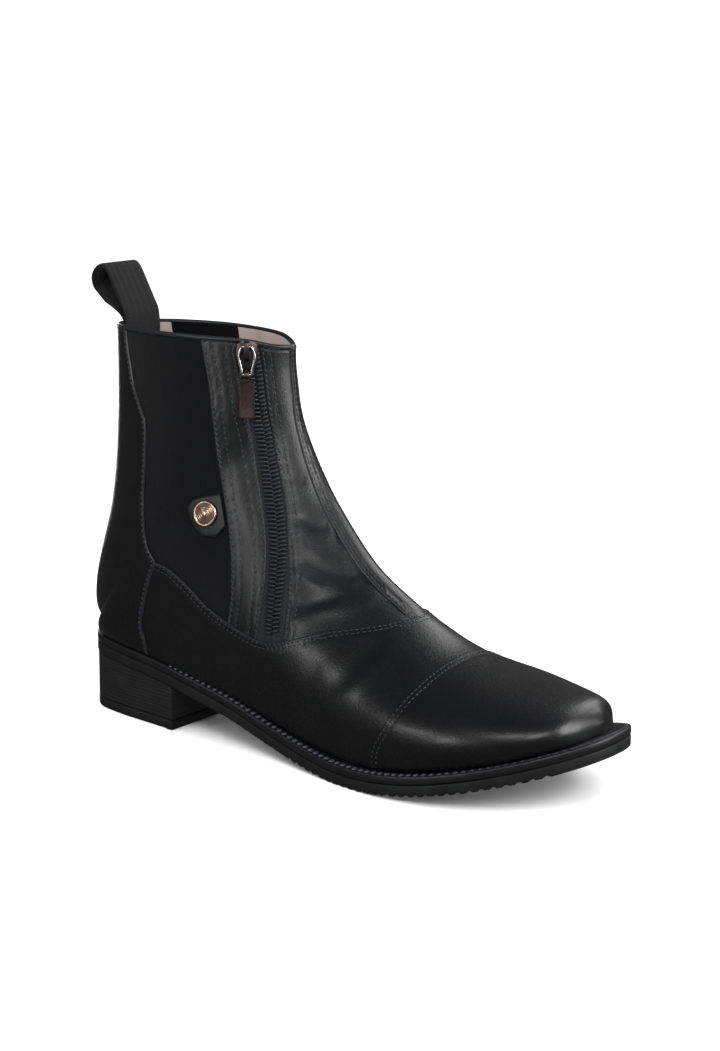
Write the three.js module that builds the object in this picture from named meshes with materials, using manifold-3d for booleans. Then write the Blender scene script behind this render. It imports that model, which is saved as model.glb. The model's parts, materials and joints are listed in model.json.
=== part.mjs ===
// Right ankle riding boot: hollow leather upper with a side zip and elastic gussets, on a welted sole with a low heel.
// Millimetres. +X to the toe, +Y to the inner side, +Z up. The origin is the middle of the heel's tread, on the floor.
import * as THREE from "three";
import { mergeVertices } from "three/addons/utils/BufferGeometryUtils.js";
import Module from "manifold-3d";

const wasm = await Module();
wasm.setup();

// Driving sizes
const sole_length = 282;
const ball_width = 100;
const boot_height = 183;
const seat_rise = 27.5;
const sole_thickness = 9.5;
const outsole_thickness = 5.2;
const toe_spring = 22;
const wall = 1.8;
const overlay = 0.8;
const gap = 0.3;
const gore_thickness = 1.1;
const coil_width = 7;
const wire_radius = 0.75;

// Where the sole begins behind the origin, and where the toe spring starts, along the length
const heel_back = -0.1277 * sole_length;
const spring_start = 0.635;
const breast_line = 0.234;

// Sole outline: along, outer edge, inner edge, inset of the upper, in shares of the length and of the ball width
const outline_table = [
  [0.000, 0.000, 0.000, 0.010],
  [0.012, -0.136, 0.142, 0.010],
  [0.040, -0.222, 0.240, 0.010],
  [0.100, -0.272, 0.304, 0.010],
  [0.180, -0.302, 0.312, 0.012],
  [0.270, -0.332, 0.280, 0.018],
  [0.360, -0.345, 0.252, 0.030],
  [0.450, -0.380, 0.258, 0.045],
  [0.540, -0.430, 0.320, 0.055],
  [0.620, -0.476, 0.400, 0.060],
  [0.690, -0.498, 0.460, 0.060],
  [0.760, -0.488, 0.483, 0.060],
  [0.830, -0.438, 0.463, 0.060],
  [0.890, -0.360, 0.415, 0.060],
  [0.940, -0.268, 0.350, 0.070],
  [0.975, -0.165, 0.268, 0.075],
  [0.995, -0.050, 0.154, 0.075],
  [1.000, 0.050, 0.050, 0.075],
];

// Rise of the foot bed from the forepart to the seat: along, share of the seat rise
const bed_table = [
  [0.000, 1.000],
  [0.100, 0.909],
  [0.227, 0.764],
  [0.340, 0.527],
  [0.454, 0.236],
  [0.546, 0.055],
  [0.605, 0.000],
  [0.660, 0.000],
  [1.200, 0.000],
];

// Fan of sections from the toe tip to the collar, each from a top point to a back point.
// Columns: top along, top up, back along, back rise over the bed, outer half, inner half, ridge to the inner side,
// share of the depth at the widest, roundness above it, roundness below it, rings up to the next section.
const last_table = [
  [0.9720, 0.0840, 0.9720, 0.0040, 0.012, 0.012, 0.050, 0.50, 2.00, 2.00, 3],
  [0.9600, 0.1143, 0.9640, 0.0000, 0.120, 0.145, 0.060, 0.55, 2.00, 2.00, 2],
  [0.9397, 0.1417, 0.9450, 0.0000, 0.240, 0.250, 0.060, 0.60, 2.10, 2.20, 2],
  [0.8864, 0.1776, 0.8950, 0.0000, 0.360, 0.350, 0.050, 0.66, 2.20, 2.30, 2],
  [0.8045, 0.2260, 0.8156, 0.0000, 0.445, 0.445, 0.040, 0.68, 2.20, 2.30, 2],
  [0.7112, 0.2850, 0.7234, 0.0000, 0.465, 0.430, 0.060, 0.70, 2.00, 2.30, 2],
  [0.6233, 0.3675, 0.6170, 0.0000, 0.430, 0.380, 0.080, 0.72, 1.85, 2.30, 2],
  [0.5360, 0.4567, 0.5035, 0.0000, 0.380, 0.340, 0.090, 0.72, 1.80, 2.30, 2],
  [0.4640, 0.5857, 0.3759, 0.0000, 0.340, 0.320, 0.090, 0.70, 1.80, 2.30, 2],
  [0.4294, 0.6760, 0.2234, 0.0000, 0.320, 0.320, 0.080, 0.66, 1.80, 2.20, 3],
  [0.4076, 0.7532, 0.0851, 0.0000, 0.316, 0.314, 0.070, 0.60, 1.80, 2.25, 5],
  [0.3967, 0.8020, 0.0106, 0.0055, 0.309, 0.306, 0.065, 0.55, 1.80, 2.30, 2],
  [0.3908, 0.8449, -0.0035, 0.1000, 0.299, 0.295, 0.060, 0.51, 1.80, 2.30, 2],
  [0.3870, 0.8864, 0.0320, 0.3356, 0.277, 0.275, 0.060, 0.50, 1.80, 2.20, 2],
  [0.3843, 0.9328, 0.0415, 0.5573, 0.252, 0.252, 0.060, 0.50, 1.80, 2.08, 2],
  [0.3849, 0.9885, 0.0388, 0.8084, 0.230, 0.230, 0.060, 0.50, 1.80, 2.00, 1],
];
const points_down_a_side = 11;

// Lines of the seams seen from the side: along, up, in shares of the length and of the boot height
const collar_line = [[-0.20, 1.003], [0.03, 1.003], [0.12, 1.004], [0.23, 1.004], [0.33, 0.998], [0.40, 0.975], [0.60, 0.96]];
const rear_edge = [
  [0.098, 1.100], [0.098, 0.986], [0.112, 0.915], [0.125, 0.860], [0.147, 0.809], [0.161, 0.770], [0.166, 0.680],
  [0.168, 0.580], [0.178, 0.478], [0.199, 0.430],
];
const vamp_top = [
  [0.199, 0.430], [0.231, 0.417], [0.268, 0.385], [0.304, 0.348], [0.340, 0.322], [0.390, 0.297], [0.435, 0.287],
  [0.482, 0.303], [0.538, 0.333], [0.588, 0.347], [0.622, 0.356], [0.636, 0.362], [0.650, 0.420], [0.660, 0.550],
];
const counter_seam = [[0.199, 0.430], [0.186, 0.383], [0.174, 0.328], [0.164, 0.267], [0.165, 0.238], [0.171, 0.203], [0.176, 0.10]];
const cap_seam = [[0.668, -0.02], [0.672, 0.077], [0.678, 0.115], [0.696, 0.164], [0.711, 0.217], [0.722, 0.266], [0.725, 0.33], [0.725, 0.45]];
const gore_front = [
  [0.353, 0.314], [0.356, 0.369], [0.350, 0.441], [0.336, 0.530], [0.318, 0.617], [0.305, 0.689],
  [0.295, 0.787], [0.284, 0.884], [0.266, 1.003], [0.262, 1.100],
];
const medial_gore_front = [[0.305, 0.345], [0.290, 0.520], [0.262, 0.700], [0.240, 0.860], [0.226, 1.003], [0.224, 1.100]];
const zip_rear = [
  [0.315, 1.100], [0.323, 0.991], [0.335, 0.887], [0.348, 0.789], [0.363, 0.693], [0.381, 0.611],
  [0.402, 0.520], [0.416, 0.429], [0.420, 0.335], [0.419, 0.286],
];
const zip_front = [
  [0.347, 1.100], [0.353, 0.990], [0.362, 0.886], [0.372, 0.789], [0.390, 0.693], [0.411, 0.612],
  [0.433, 0.522], [0.454, 0.434], [0.466, 0.345], [0.469, 0.299],
];
const zip_centre = [
  [0.341, 0.984], [0.351, 0.887], [0.362, 0.789], [0.378, 0.694], [0.396, 0.612], [0.418, 0.522],
  [0.434, 0.432], [0.443, 0.341], [0.445, 0.298],
];
const snap_tab_edge = [
  [0.352, 0.635], [0.328, 0.631], [0.315, 0.622], [0.297, 0.615], [0.278, 0.606], [0.265, 0.594],
  [0.260, 0.575], [0.267, 0.552], [0.279, 0.528], [0.292, 0.515], [0.313, 0.515], [0.328, 0.521],
  [0.338, 0.527], [0.352, 0.525],
];
const snap_place = [0.297, 0.570];
const slider_place = [0.3420, 0.9600];

// Smooth curve through rows of values at rising places
const smooth = (places, rows, at) => {
  const last = places.length - 1;
  const steps = rows.slice(1).map((row, i) => row.map((v, k) => (v - rows[i][k]) / (places[i + 1] - places[i])));
  const slope = (i, k) => {
    const before = places[i] - places[i - 1];
    const after = places[i + 1] - places[i];
    return (steps[i - 1][k] * after + steps[i][k] * before) / (before + after);
  };
  const tangent = (i, k) => {
    if (i === 0) return 1.5 * steps[0][k] - 0.5 * slope(1, k);
    if (i === last) return 1.5 * steps[last - 1][k] - 0.5 * slope(last - 1, k);
    return slope(i, k);
  };
  let i = 0;
  while (i < last - 1 && at >= places[i + 1]) i += 1;
  const h = places[i + 1] - places[i];
  const t = (at - places[i]) / h;
  const [t2, t3] = [t * t, t * t * t];
  return rows[i].map((v, k) => (2 * t3 - 3 * t2 + 1) * v + (t3 - 2 * t2 + t) * h * tangent(i, k)
    + (3 * t2 - 2 * t3) * rows[i + 1][k] + (t3 - t2) * h * tangent(i + 1, k));
};
const clamp = (v, low, high) => Math.min(Math.max(v, low), high);
const along = (share) => heel_back + share * sole_length;
const share_of = (x) => (x - heel_back) / sole_length;
const side_points = (rows) => rows.map(([a, up]) => new THREE.Vector2(along(a), up * boot_height));
const side_curve = (rows) => new THREE.SplineCurve(side_points(rows)).getPoints(Math.round(rows.length * 1.6));

// Undersurface of the tread, and the bed that the upper stands on
const tread = (x) => toe_spring * Math.max(0, (share_of(x) - spring_start) / (1 - spring_start)) ** 1.7;
const bed_curve = (share) => smooth(bed_table.map((r) => r[0]), bed_table.map((r) => [r[1]]), share)[0];
const bed_rise = (x) => Math.max(0, bed_curve(share_of(x)));
const bed = (x) => sole_thickness + seat_rise * bed_rise(x) + tread(x);

// Edges of the outline at a place along it, drawn in by an inset; the ends stay round
const stretched = (share) => Math.acos(clamp(1 - 2 * share, -1, 1)) / Math.PI;
const outline_places = outline_table.map((r) => stretched(r[0]));
const outline_rows = outline_table.map((r) => r.slice(1));
const edges = (share) => smooth(outline_places, outline_rows, stretched(share)).map((v) => v * ball_width);
const feather_back = heel_back + 0.0106 * sole_length;
const feather_front = heel_back + 0.9787 * sole_length;
const feather = (x, inset) => {
  const back = feather_back + inset;
  const front = feather_front - inset;
  const [outer, inner, welt] = edges(clamp((x - back) / (front - back), 0, 1));
  const half = (inner - outer) / 2;
  const middle = (inner + outer) / 2;
  const drawn = Math.max(half - welt - inset, 0.8 * half * Math.min(1, half / 20), 0);
  return [middle - drawn, middle + drawn];
};

// One section of the last, drawn in by an inset: a closed ring of points from the ridge round the outer side
const last_places = last_table.map((r, i) => i);
const least_half = 0.4;
const section_values = (s) => {
  const v = smooth(last_places, last_table, s);
  const top = new THREE.Vector2(along(v[0]), v[1] * boot_height + tread(along(v[0])));
  const back_x = along(v[2]);
  const rise = Math.max(0, v[3] * boot_height);
  return { v, top, back: new THREE.Vector2(back_x, bed(back_x) + rise), rise };
};
const section_at = (s, inset) => {
  const step = 0.05;
  const { v, top, back, rise } = section_values(s);
  const before = section_values(Math.max(0, s - step)).top;
  const after = section_values(Math.min(last_places.length - 1, s + step)).top;
  const run = after.clone().sub(before).normalize();
  const inward = new THREE.Vector2(-run.y, run.x);
  if (inward.dot(back.clone().sub(top)) < 0) inward.negate();
  if (s < 0.5) inward.set(-1, 0);
  const upright = Math.min(1, rise / (6 * wall));
  const squeeze = (feather_front - feather_back - 2 * inset) / (feather_front - feather_back);
  const bed_x = feather_back + inset + (back.x - feather_back) * squeeze;
  const low_x = s < 0.5 ? back.x - inset : bed_x;
  const raised = s < 0.5 ? 0 : Math.max(inset, 0) * (1 - upright);
  const low = new THREE.Vector2(low_x, bed(low_x) + rise + raised);
  const high = top.clone().addScaledVector(inward, inset);
  const [outer_edge, inner_edge] = feather(low.x, inset);
  const on_bed = s < 0.5 ? 0 : clamp(1 - rise / 3, 0, 1);
  return {
    high, low,
    outer: Math.max(v[4] * ball_width - inset, least_half + 0.1),
    inner: Math.max(v[5] * ball_width - inset, least_half + 0.1),
    ridge: v[6] * ball_width * Math.min(1, s),
    toe_middle: v[6] * ball_width * Math.max(0, 1 - s),
    outer_foot: Math.max(-outer_edge * on_bed, least_half),
    inner_foot: Math.max(inner_edge * on_bed, least_half),
    widest: v[7], above: v[8], below: v[9],
  };
};
const section_point = (c, q, side) => {
  const half = side < 0 ? c.outer : c.inner;
  const foot = Math.min(side < 0 ? c.outer_foot : c.inner_foot, half - 0.05);
  const depth = c.low.distanceTo(c.high);
  const angle = q <= 0.5 ? q * Math.PI : (q - 0.5) * Math.PI;
  const [sine, cosine] = [Math.sin(angle), Math.max(Math.cos(angle), 0)];
  const reach = sine ** (2 / c.above);
  const upper_part = q <= 0.5;
  const down = upper_part ? c.widest * (1 - cosine ** (2 / c.above)) : c.widest + (1 - c.widest) * sine ** (2 / c.below);
  const out = upper_part ? half * reach : foot + (half - foot) * cosine ** (2 / c.below);
  const y = c.toe_middle + side * out + (upper_part ? c.ridge * (1 - reach) : 0);
  const run = c.low.clone().sub(c.high).normalize().multiplyScalar(depth * down);
  return new THREE.Vector3(c.high.x + run.x, y, c.high.y + run.y);
};

// Closed body through rings of equal length
const positions_only = (geometry) => {
  geometry.deleteAttribute("normal");
  geometry.deleteAttribute("uv");
  return mergeVertices(geometry, 1e-4);
};
const solid = (geometry) => {
  const merged = positions_only(geometry.clone());
  const vertProperties = new Float32Array(merged.attributes.position.array);
  const triVerts = new Uint32Array(merged.index.array);
  return new wasm.Manifold(new wasm.Mesh({ numProp: 3, vertProperties, triVerts }));
};
const loft = (rings, flat) => {
  const count = rings[0].length;
  const place = [];
  const index = [];
  rings.forEach((ring) => ring.forEach((p) => place.push(p.x, p.y, p.z)));
  for (let i = 0; i < rings.length - 1; i += 1) {
    for (let k = 0; k < count; k += 1) {
      const next = (k + 1) % count;
      const [a, b, c, d] = [i * count + k, i * count + next, (i + 1) * count + next, (i + 1) * count + k];
      index.push(a, b, c, a, c, d);
    }
  }
  [0, rings.length - 1].forEach((i) => {
    const outline = rings[i].map(flat);
    const ring_area = THREE.ShapeUtils.area(outline);
    THREE.ShapeUtils.triangulateShape(outline, []).forEach((f) => {
      const with_ring = THREE.ShapeUtils.area(f.map((n) => outline[n])) * ring_area > 0;
      const kept = with_ring === (i > 0) ? f : [f[0], f[2], f[1]];
      index.push(...kept.map((n) => n + i * count));
    });
  });
  const geometry = new THREE.BufferGeometry();
  geometry.setAttribute("position", new THREE.Float32BufferAttribute(place, 3));
  geometry.setIndex(index);
  return geometry;
};
const outward = (geometry) => {
  let volume = 0;
  const index = geometry.index.array;
  const place = geometry.attributes.position;
  const corner = (n) => new THREE.Vector3().fromBufferAttribute(place, n);
  for (let i = 0; i < index.length; i += 3) {
    volume += corner(index[i]).dot(corner(index[i + 1]).cross(corner(index[i + 2])));
  }
  if (volume > 0) return geometry;
  for (let i = 0; i < index.length; i += 3) [index[i], index[i + 1]] = [index[i + 1], index[i]];
  return geometry;
};

// The last drawn in by an inset, as a solid; it runs on above the collar by an extra height
const ring_list = last_table.slice(0, -1).flatMap((row, i) => Array.from({ length: row[10] }, (_, k) => i + k / row[10]));
const last_solid = (inset, extra) => {
  const rings = [...ring_list, last_table.length - 1].map((s) => {
    const c = section_at(s, inset);
    const outer_side = [];
    const inner_side = [];
    for (let k = 0; k <= points_down_a_side; k += 1) {
      const q = k / points_down_a_side;
      outer_side.push(section_point(c, q, -1));
      if (k > 0) inner_side.push(section_point(c, q, 1));
    }
    return [...outer_side, ...inner_side.reverse()];
  });
  const rim = rings[rings.length - 1];
  if (extra > 0) rings.push(rim.map((p) => new THREE.Vector3(p.x, p.y, p.z + extra)));
  const flat = (p) => new THREE.Vector2(p.x + 0.1 * p.z, p.y);
  const flat_toe = (p) => new THREE.Vector2(p.z, p.y);
  const geometry = loft(rings, (p) => (p.x > along(0.9) ? flat_toe(p) : flat(p)));
  return solid(outward(geometry));
};

// Prisms across the boot from a side view, and upright prisms from a plan
const side_prism = (points, y_from, y_to) => {
  const geometry = new THREE.ExtrudeGeometry(new THREE.Shape(points), { depth: y_to - y_from, bevelEnabled: false });
  geometry.rotateX(Math.PI / 2);
  geometry.translate(0, y_to, 0);
  return solid(geometry);
};
const plan_prism = (points, z_from, z_to) => {
  const geometry = new THREE.ExtrudeGeometry(new THREE.Shape(points), { depth: z_to - z_from, bevelEnabled: false });
  geometry.translate(0, 0, z_from);
  return solid(geometry);
};
const beyond = 80;
const below_all = -20;
const above_all = boot_height * 1.3;
const plan_loop = (x_from, x_to, edge_pair, count) => {
  const outer_side = [];
  const inner_side = [];
  for (let k = 0; k <= count; k += 1) {
    const x = x_from + (x_to - x_from) * (1 - Math.cos(Math.PI * k / count)) / 2;
    const [outer, inner] = edge_pair(x);
    outer_side.push(new THREE.Vector2(x, outer));
    if (inner - outer > 0.01) inner_side.push(new THREE.Vector2(x, inner));
  }
  return [...outer_side, ...inner_side.reverse()];
};
const band = (x_from, x_to, low, high, count) => {
  const lower = [];
  const upper = [];
  for (let k = 0; k <= count; k += 1) {
    const x = x_from + (x_to - x_from) * k / count;
    lower.push(new THREE.Vector2(x, low(x)));
    upper.push(new THREE.Vector2(x, high(x)));
  }
  return side_prism([...lower, ...upper.reverse()], -beyond, beyond);
};
const grown = (line, by) => line.map((p, i) => {
  const before = line[Math.max(0, i - 1)];
  const after = line[Math.min(line.length - 1, i + 1)];
  const run = after.clone().sub(before).normalize();
  return new THREE.Vector2(p.x + run.y * by, p.y - run.x * by);
});
const ribbon = (line, half) => [...grown(line, half), ...grown(line, -half).reverse()];

// Upper: a shell with overlays, open at the collar, at the gussets, at the zip and underneath
const body_form = last_solid(overlay, 8);
const outer_form = last_solid(0, 8);
const cap_form = last_solid(-0.4, 0);
const inner_form = last_solid(overlay + wall, 12);
const rear_line = side_curve(rear_edge);
const vamp_line = side_curve(vamp_top);
const counter_line = side_curve(counter_seam);
const cap_line = side_curve(cap_seam);
const far_toe = along(1.1);
const far_back = along(-0.15);
const vamp_region = side_prism([
  ...vamp_line,
  new THREE.Vector2(far_toe, boot_height * 0.55),
  new THREE.Vector2(far_toe, below_all),
  ...counter_line.slice().reverse(),
], -beyond, beyond);
const rear_region = side_prism([
  new THREE.Vector2(far_back, above_all),
  ...rear_line,
  ...counter_line.slice(1),
  new THREE.Vector2(along(0.176), below_all),
  new THREE.Vector2(far_back, below_all),
], -beyond, beyond);
const cap_region = side_prism([
  ...cap_line,
  new THREE.Vector2(far_toe, boot_height * 0.45),
  new THREE.Vector2(far_toe, below_all),
], -beyond, beyond);
const cord_half = 1.2;
const cord_region = side_prism(ribbon(counter_line, cord_half), -beyond, beyond);

const strip_rings = Array.from({ length: 17 }, (_, k) => 6.02 + k * 0.56).map((s) => {
  const c = section_at(Math.min(s, 15), 0);
  const t = (s - 6.02) / 8.96;
  const near = (0.005 + 0.035 * Math.min(1, t * 1.4)) * ball_width;
  const far = near + (0.135 - 0.030 * t) * ball_width;
  const run = c.low.clone().sub(c.high).normalize();
  const corner = (y, depth) => new THREE.Vector3(c.high.x + run.x * depth, y, c.high.y + run.y * depth);
  return [corner(near, -6), corner(near, 10), corner(far, 10), corner(far, -6)];
});
const strip_flat = (p) => new THREE.Vector2(p.x + p.z, p.y);
const strip_region = solid(outward(loft(strip_rings, strip_flat)));

const gore_foot = (limit) => vamp_line.slice(1).filter((p) => p.x < along(limit));
const gore_front_line = side_curve(gore_front);
const gore_lateral_line = [...rear_line, ...gore_foot(0.343), ...gore_front_line];
const gore_medial_line = [...rear_line, ...gore_foot(0.295), ...side_curve(medial_gore_front)];
const zip_line = [...side_curve(zip_rear), ...side_curve(zip_front).reverse()];
const collar_points = side_points(collar_line);
const over_collar = side_prism([
  ...collar_points,
  new THREE.Vector2(along(0.6), above_all),
  new THREE.Vector2(along(-0.2), above_all),
], -beyond, beyond);
const margin = 0.10 * ball_width;
const under_opening = plan_prism(
  plan_loop(feather_back + margin + 0.5, feather_front - margin - 0.5, (x) => feather(x, margin), 22),
  below_all,
  boot_height * 0.4,
).intersect(band(along(-0.05), along(1.05), (x) => bed(x) - 5, (x) => bed(x) + overlay + wall + 1.5, 24));

const upper = body_form
  .add(outer_form.intersect(vamp_region))
  .add(outer_form.intersect(rear_region))
  .add(outer_form.intersect(strip_region))
  .add(cap_form.intersect(cap_region))
  .add(last_solid(-0.5, 0).intersect(cord_region))
  .subtract(inner_form)
  .subtract(side_prism(gore_lateral_line, -beyond, 0))
  .subtract(side_prism(gore_medial_line, 0, beyond))
  .subtract(side_prism(zip_line, -beyond, 2))
  .subtract(under_opening)
  .subtract(over_collar);

// Elastic gussets: sheets set a little below the leather, one gap inside their cut-outs
const shrunk = (points, by) => {
  const area = THREE.ShapeUtils.area(points);
  const sign = area > 0 ? -1 : 1;
  const count = points.length;
  return points.map((p, i) => {
    const before = p.clone().sub(points[(i + count - 1) % count]).normalize();
    const after = points[(i + 1) % count].clone().sub(p).normalize();
    const side = new THREE.Vector2(before.y + after.y, -before.x - after.x).normalize();
    const stretch = 1 / Math.max(0.5, Math.abs(side.dot(new THREE.Vector2(before.y, -before.x))));
    return p.clone().addScaledVector(side, sign * by * stretch);
  });
};
const gore_top = overlay + 0.4;
const gore_sheet = last_solid(gore_top, 8).subtract(last_solid(gore_top + gore_thickness, 12)).subtract(over_collar);
const gore_lateral = gore_sheet.intersect(side_prism(shrunk(gore_lateral_line, gap), -beyond, 0));
const gore_medial = gore_sheet.intersect(side_prism(shrunk(gore_medial_line, gap), 0, beyond));

// Zip: tape in its slot and the closed coil on it
const tape_top = overlay + 0.5;
const zip_tape = last_solid(tape_top, 8)
  .subtract(last_solid(tape_top + 0.8, 12))
  .subtract(over_collar)
  .intersect(side_prism(shrunk(zip_line, gap), -beyond, 2));
const coil_bottom = tape_top - gap;
const coil_rise = 0.1;
const zip_teeth = last_solid(-coil_rise, 0)
  .subtract(last_solid(coil_bottom, 12))
  .intersect(side_prism(ribbon(side_curve(zip_centre), coil_width / 2), -beyond, 0))
  .intersect(side_prism(shrunk(zip_line, gap), -beyond, 0));

// A place on the outer side found from the side view, with the direction that faces out there
const outer_place = (share_along, share_up, inset) => {
  const target = new THREE.Vector2(along(share_along), share_up * boot_height);
  const distance = (s, q) => {
    const p = section_point(section_at(s, inset), q, -1);
    return Math.hypot(p.x - target.x, p.z - target.y);
  };
  let best = [12, 0.3];
  let step = [3, 0.25];
  for (let round = 0; round < 40; round += 1) {
    const tries = [-1, 0, 1].flatMap((i) => [-1, 0, 1].map((k) => [best[0] + i * step[0], best[1] + k * step[1]]));
    const kept = tries.filter(([s, q]) => s > 6 && s < 14.99 && q > 0.01 && q < 0.6);
    kept.sort((a, b) => distance(...a) - distance(...b));
    if (distance(...kept[0]) < distance(...best)) best = kept[0];
    else step = step.map((v) => v * 0.6);
  }
  const at = (s, q) => section_point(section_at(s, inset), q, -1);
  const [s, q] = best;
  const run_s = at(s + 0.05, q).sub(at(s - 0.05, q));
  const run_q = at(s, q + 0.01).sub(at(s, q - 0.01));
  const out = run_s.cross(run_q).normalize();
  if (out.y > 0) out.negate();
  return { point: at(s, q), out };
};
const frame_at = (spot, up) => {
  const z_axis = spot.out.clone();
  const x_axis = up.clone().cross(z_axis).normalize();
  const y_axis = z_axis.clone().cross(x_axis).normalize();
  const matrix = new THREE.Matrix4().makeBasis(x_axis, y_axis, z_axis);
  return { turn: new THREE.Quaternion().setFromRotationMatrix(matrix), x_axis, y_axis, z_axis };
};

// Snap tab: a leather tongue over the gusset, and its metal cap
const tab_low = gore_top - gap;
const snap_tab = last_solid(tab_low - 1.4, 0)
  .subtract(last_solid(tab_low, 12))
  .intersect(side_prism(side_curve(snap_tab_edge), -beyond, 0))
  .subtract(side_prism(grown(gore_front_line, -gap - 0.1).concat([
    new THREE.Vector2(along(0.5), boot_height * 1.1),
    new THREE.Vector2(along(0.5), boot_height * 0.3),
  ]), -beyond, 0));
const snap_radius = 5.8;
const snap_spot = outer_place(...snap_place, tab_low - 1.4 - gap - 0.25);
const snap_profile = [
  [0, 0], [snap_radius - 0.3, 0], [snap_radius, 0.35], [snap_radius, 0.8], [snap_radius - 0.5, 1.15],
  [snap_radius - 1.2, 1.0], [snap_radius - 1.6, 1.15], [2.6, 1.5], [0, 1.65],
].map(([r, h]) => new THREE.Vector2(r, h));
const snap_geometry = new THREE.LatheGeometry(snap_profile, 24);
snap_geometry.rotateX(Math.PI / 2);

// Slider: body over the coil and a bridge with a window for the wire. Its frame has y along the zip, x across, z out
const slider_spot = outer_place(...slider_place, -coil_rise - gap);
const zip_up = new THREE.Vector3(0, 0, 1);
const slider_frame = frame_at(slider_spot, zip_up);
const slider_half = 4.8;
const slider_thickness = 2.2;
const bridge_half = 1.1;
const window_half = 1.15;
const hole_out = slider_thickness + window_half + 0.25;
const slider_outline = [
  [-slider_half * 0.55, 6.5], [slider_half * 0.55, 6.5], [slider_half * 0.95, 4.8], [slider_half, 1],
  [slider_half * 0.8, -4.4], [slider_half * 0.6, -6.5], [-slider_half * 0.6, -6.5], [-slider_half * 0.8, -4.4],
  [-slider_half, 1], [-slider_half * 0.95, 4.8],
].map(([x, y]) => new THREE.Vector2(x, y));
const slider_body = new THREE.ExtrudeGeometry(new THREE.Shape(slider_outline), { depth: slider_thickness, bevelEnabled: false });
const bridge_side = [
  [-2.8, 0.6], [6.2, 0.6], [6.5, slider_thickness + 1], [5.8, hole_out + window_half + 0.7],
  [3.0, hole_out + window_half + 1.1], [-0.8, hole_out + window_half + 0.5], [-2.4, slider_thickness + 1],
].map(([y, z]) => new THREE.Vector2(y, z));
const window_top = 5;
const window_side = [
  [window_top - 2 * window_half, hole_out - window_half], [window_top, hole_out - window_half],
  [window_top, hole_out + window_half - 0.2], [window_top - 2 * window_half, hole_out + window_half - 0.2],
].map(([y, z]) => new THREE.Vector2(y, z));
const across = (points, half) => {
  const geometry = new THREE.ExtrudeGeometry(new THREE.Shape(points), { depth: 2 * half, bevelEnabled: false });
  geometry.applyMatrix4(new THREE.Matrix4().makeBasis(
    new THREE.Vector3(0, 1, 0),
    new THREE.Vector3(0, 0, 1),
    new THREE.Vector3(1, 0, 0),
  ));
  geometry.translate(-half, 0, 0);
  return solid(geometry);
};
const slider_solid = solid(slider_body).add(across(bridge_side, bridge_half)).subtract(across(window_side, 5));

// Wire: a closed drop shape hanging from the bridge; its own origin is the middle of the bridge's window
const wire_drop = 12.5;
const wire_path = [
  [-1.5, 0], [1.5, 0], [2.35, 0.04], [3.0, 0.16], [3.5, 0.36], [3.1, 0.58], [2.5, 0.78], [2.2, 0.94], [1.5, 1],
  [-1.5, 1], [-2.2, 0.94], [-2.5, 0.78], [-3.1, 0.58], [-3.5, 0.36], [-3.0, 0.16], [-2.35, 0.04],
].map(([x, share]) => new THREE.Vector2(x, -share * wire_drop));
const wire_sides = 10;
const wire_rings = wire_path.map((p, i) => {
  const count = wire_path.length;
  const before = p.clone().sub(wire_path[(i + count - 1) % count]).normalize();
  const after = wire_path[(i + 1) % count].clone().sub(p).normalize();
  const side = new THREE.Vector2(before.y + after.y, -before.x - after.x).normalize();
  return Array.from({ length: wire_sides }, (_, k) => {
    const angle = 2 * Math.PI * k / wire_sides;
    const r = wire_radius * Math.cos(angle);
    return new THREE.Vector3(p.x + side.x * r, p.y + side.y * r, wire_radius * Math.sin(angle));
  });
});
const closed_sweep = (rings) => {
  const count = rings[0].length;
  const place = rings.flat().flatMap((p) => [p.x, p.y, p.z]);
  const index = [];
  rings.forEach((ring, i) => {
    const start = i * count;
    const next_start = ((i + 1) % rings.length) * count;
    ring.forEach((_, k) => {
      const next = (k + 1) % count;
      index.push(start + k, start + next, next_start + next, start + k, next_start + next, next_start + k);
    });
  });
  const geometry = new THREE.BufferGeometry();
  geometry.setAttribute("position", new THREE.Float32BufferAttribute(place, 3));
  geometry.setIndex(index);
  return outward(geometry);
};

// Pull plate: an eye round the lower bend of the wire and a plain plate below it; its own origin is the eye's middle
const eye_outer = 2.0;
const eye_inner = wire_radius + gap;
const eye_half = 1.15;
const plate_half = 3.5;
const plate_length = 17;
const plate_thickness = 1.2;
const eye_ring = (radius) => Array.from({ length: 20 }, (_, k) => {
  const angle = 2 * Math.PI * k / 20;
  return new THREE.Vector2(radius * Math.cos(angle), radius * Math.sin(angle));
});
const neck = new THREE.BoxGeometry(2 * eye_half, 1.6, plate_thickness);
neck.translate(0, -2.1, 0);
const plate_outline = [
  [-plate_half, -2.8], [-plate_half + 0.6, -2.3], [plate_half - 0.6, -2.3], [plate_half, -2.8],
  [plate_half, -2.3 - plate_length + 0.6], [plate_half - 0.6, -2.3 - plate_length],
  [-plate_half + 0.6, -2.3 - plate_length], [-plate_half, -2.3 - plate_length + 0.6],
].map(([x, y]) => new THREE.Vector2(x, y));
const plate = new THREE.ExtrudeGeometry(new THREE.Shape(plate_outline), { depth: plate_thickness, bevelEnabled: false });
plate.translate(0, 0, -plate_thickness / 2);
const tab_solid = across(eye_ring(eye_outer), eye_half)
  .add(solid(neck))
  .subtract(across(eye_ring(eye_inner), 3))
  .add(solid(plate));

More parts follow.
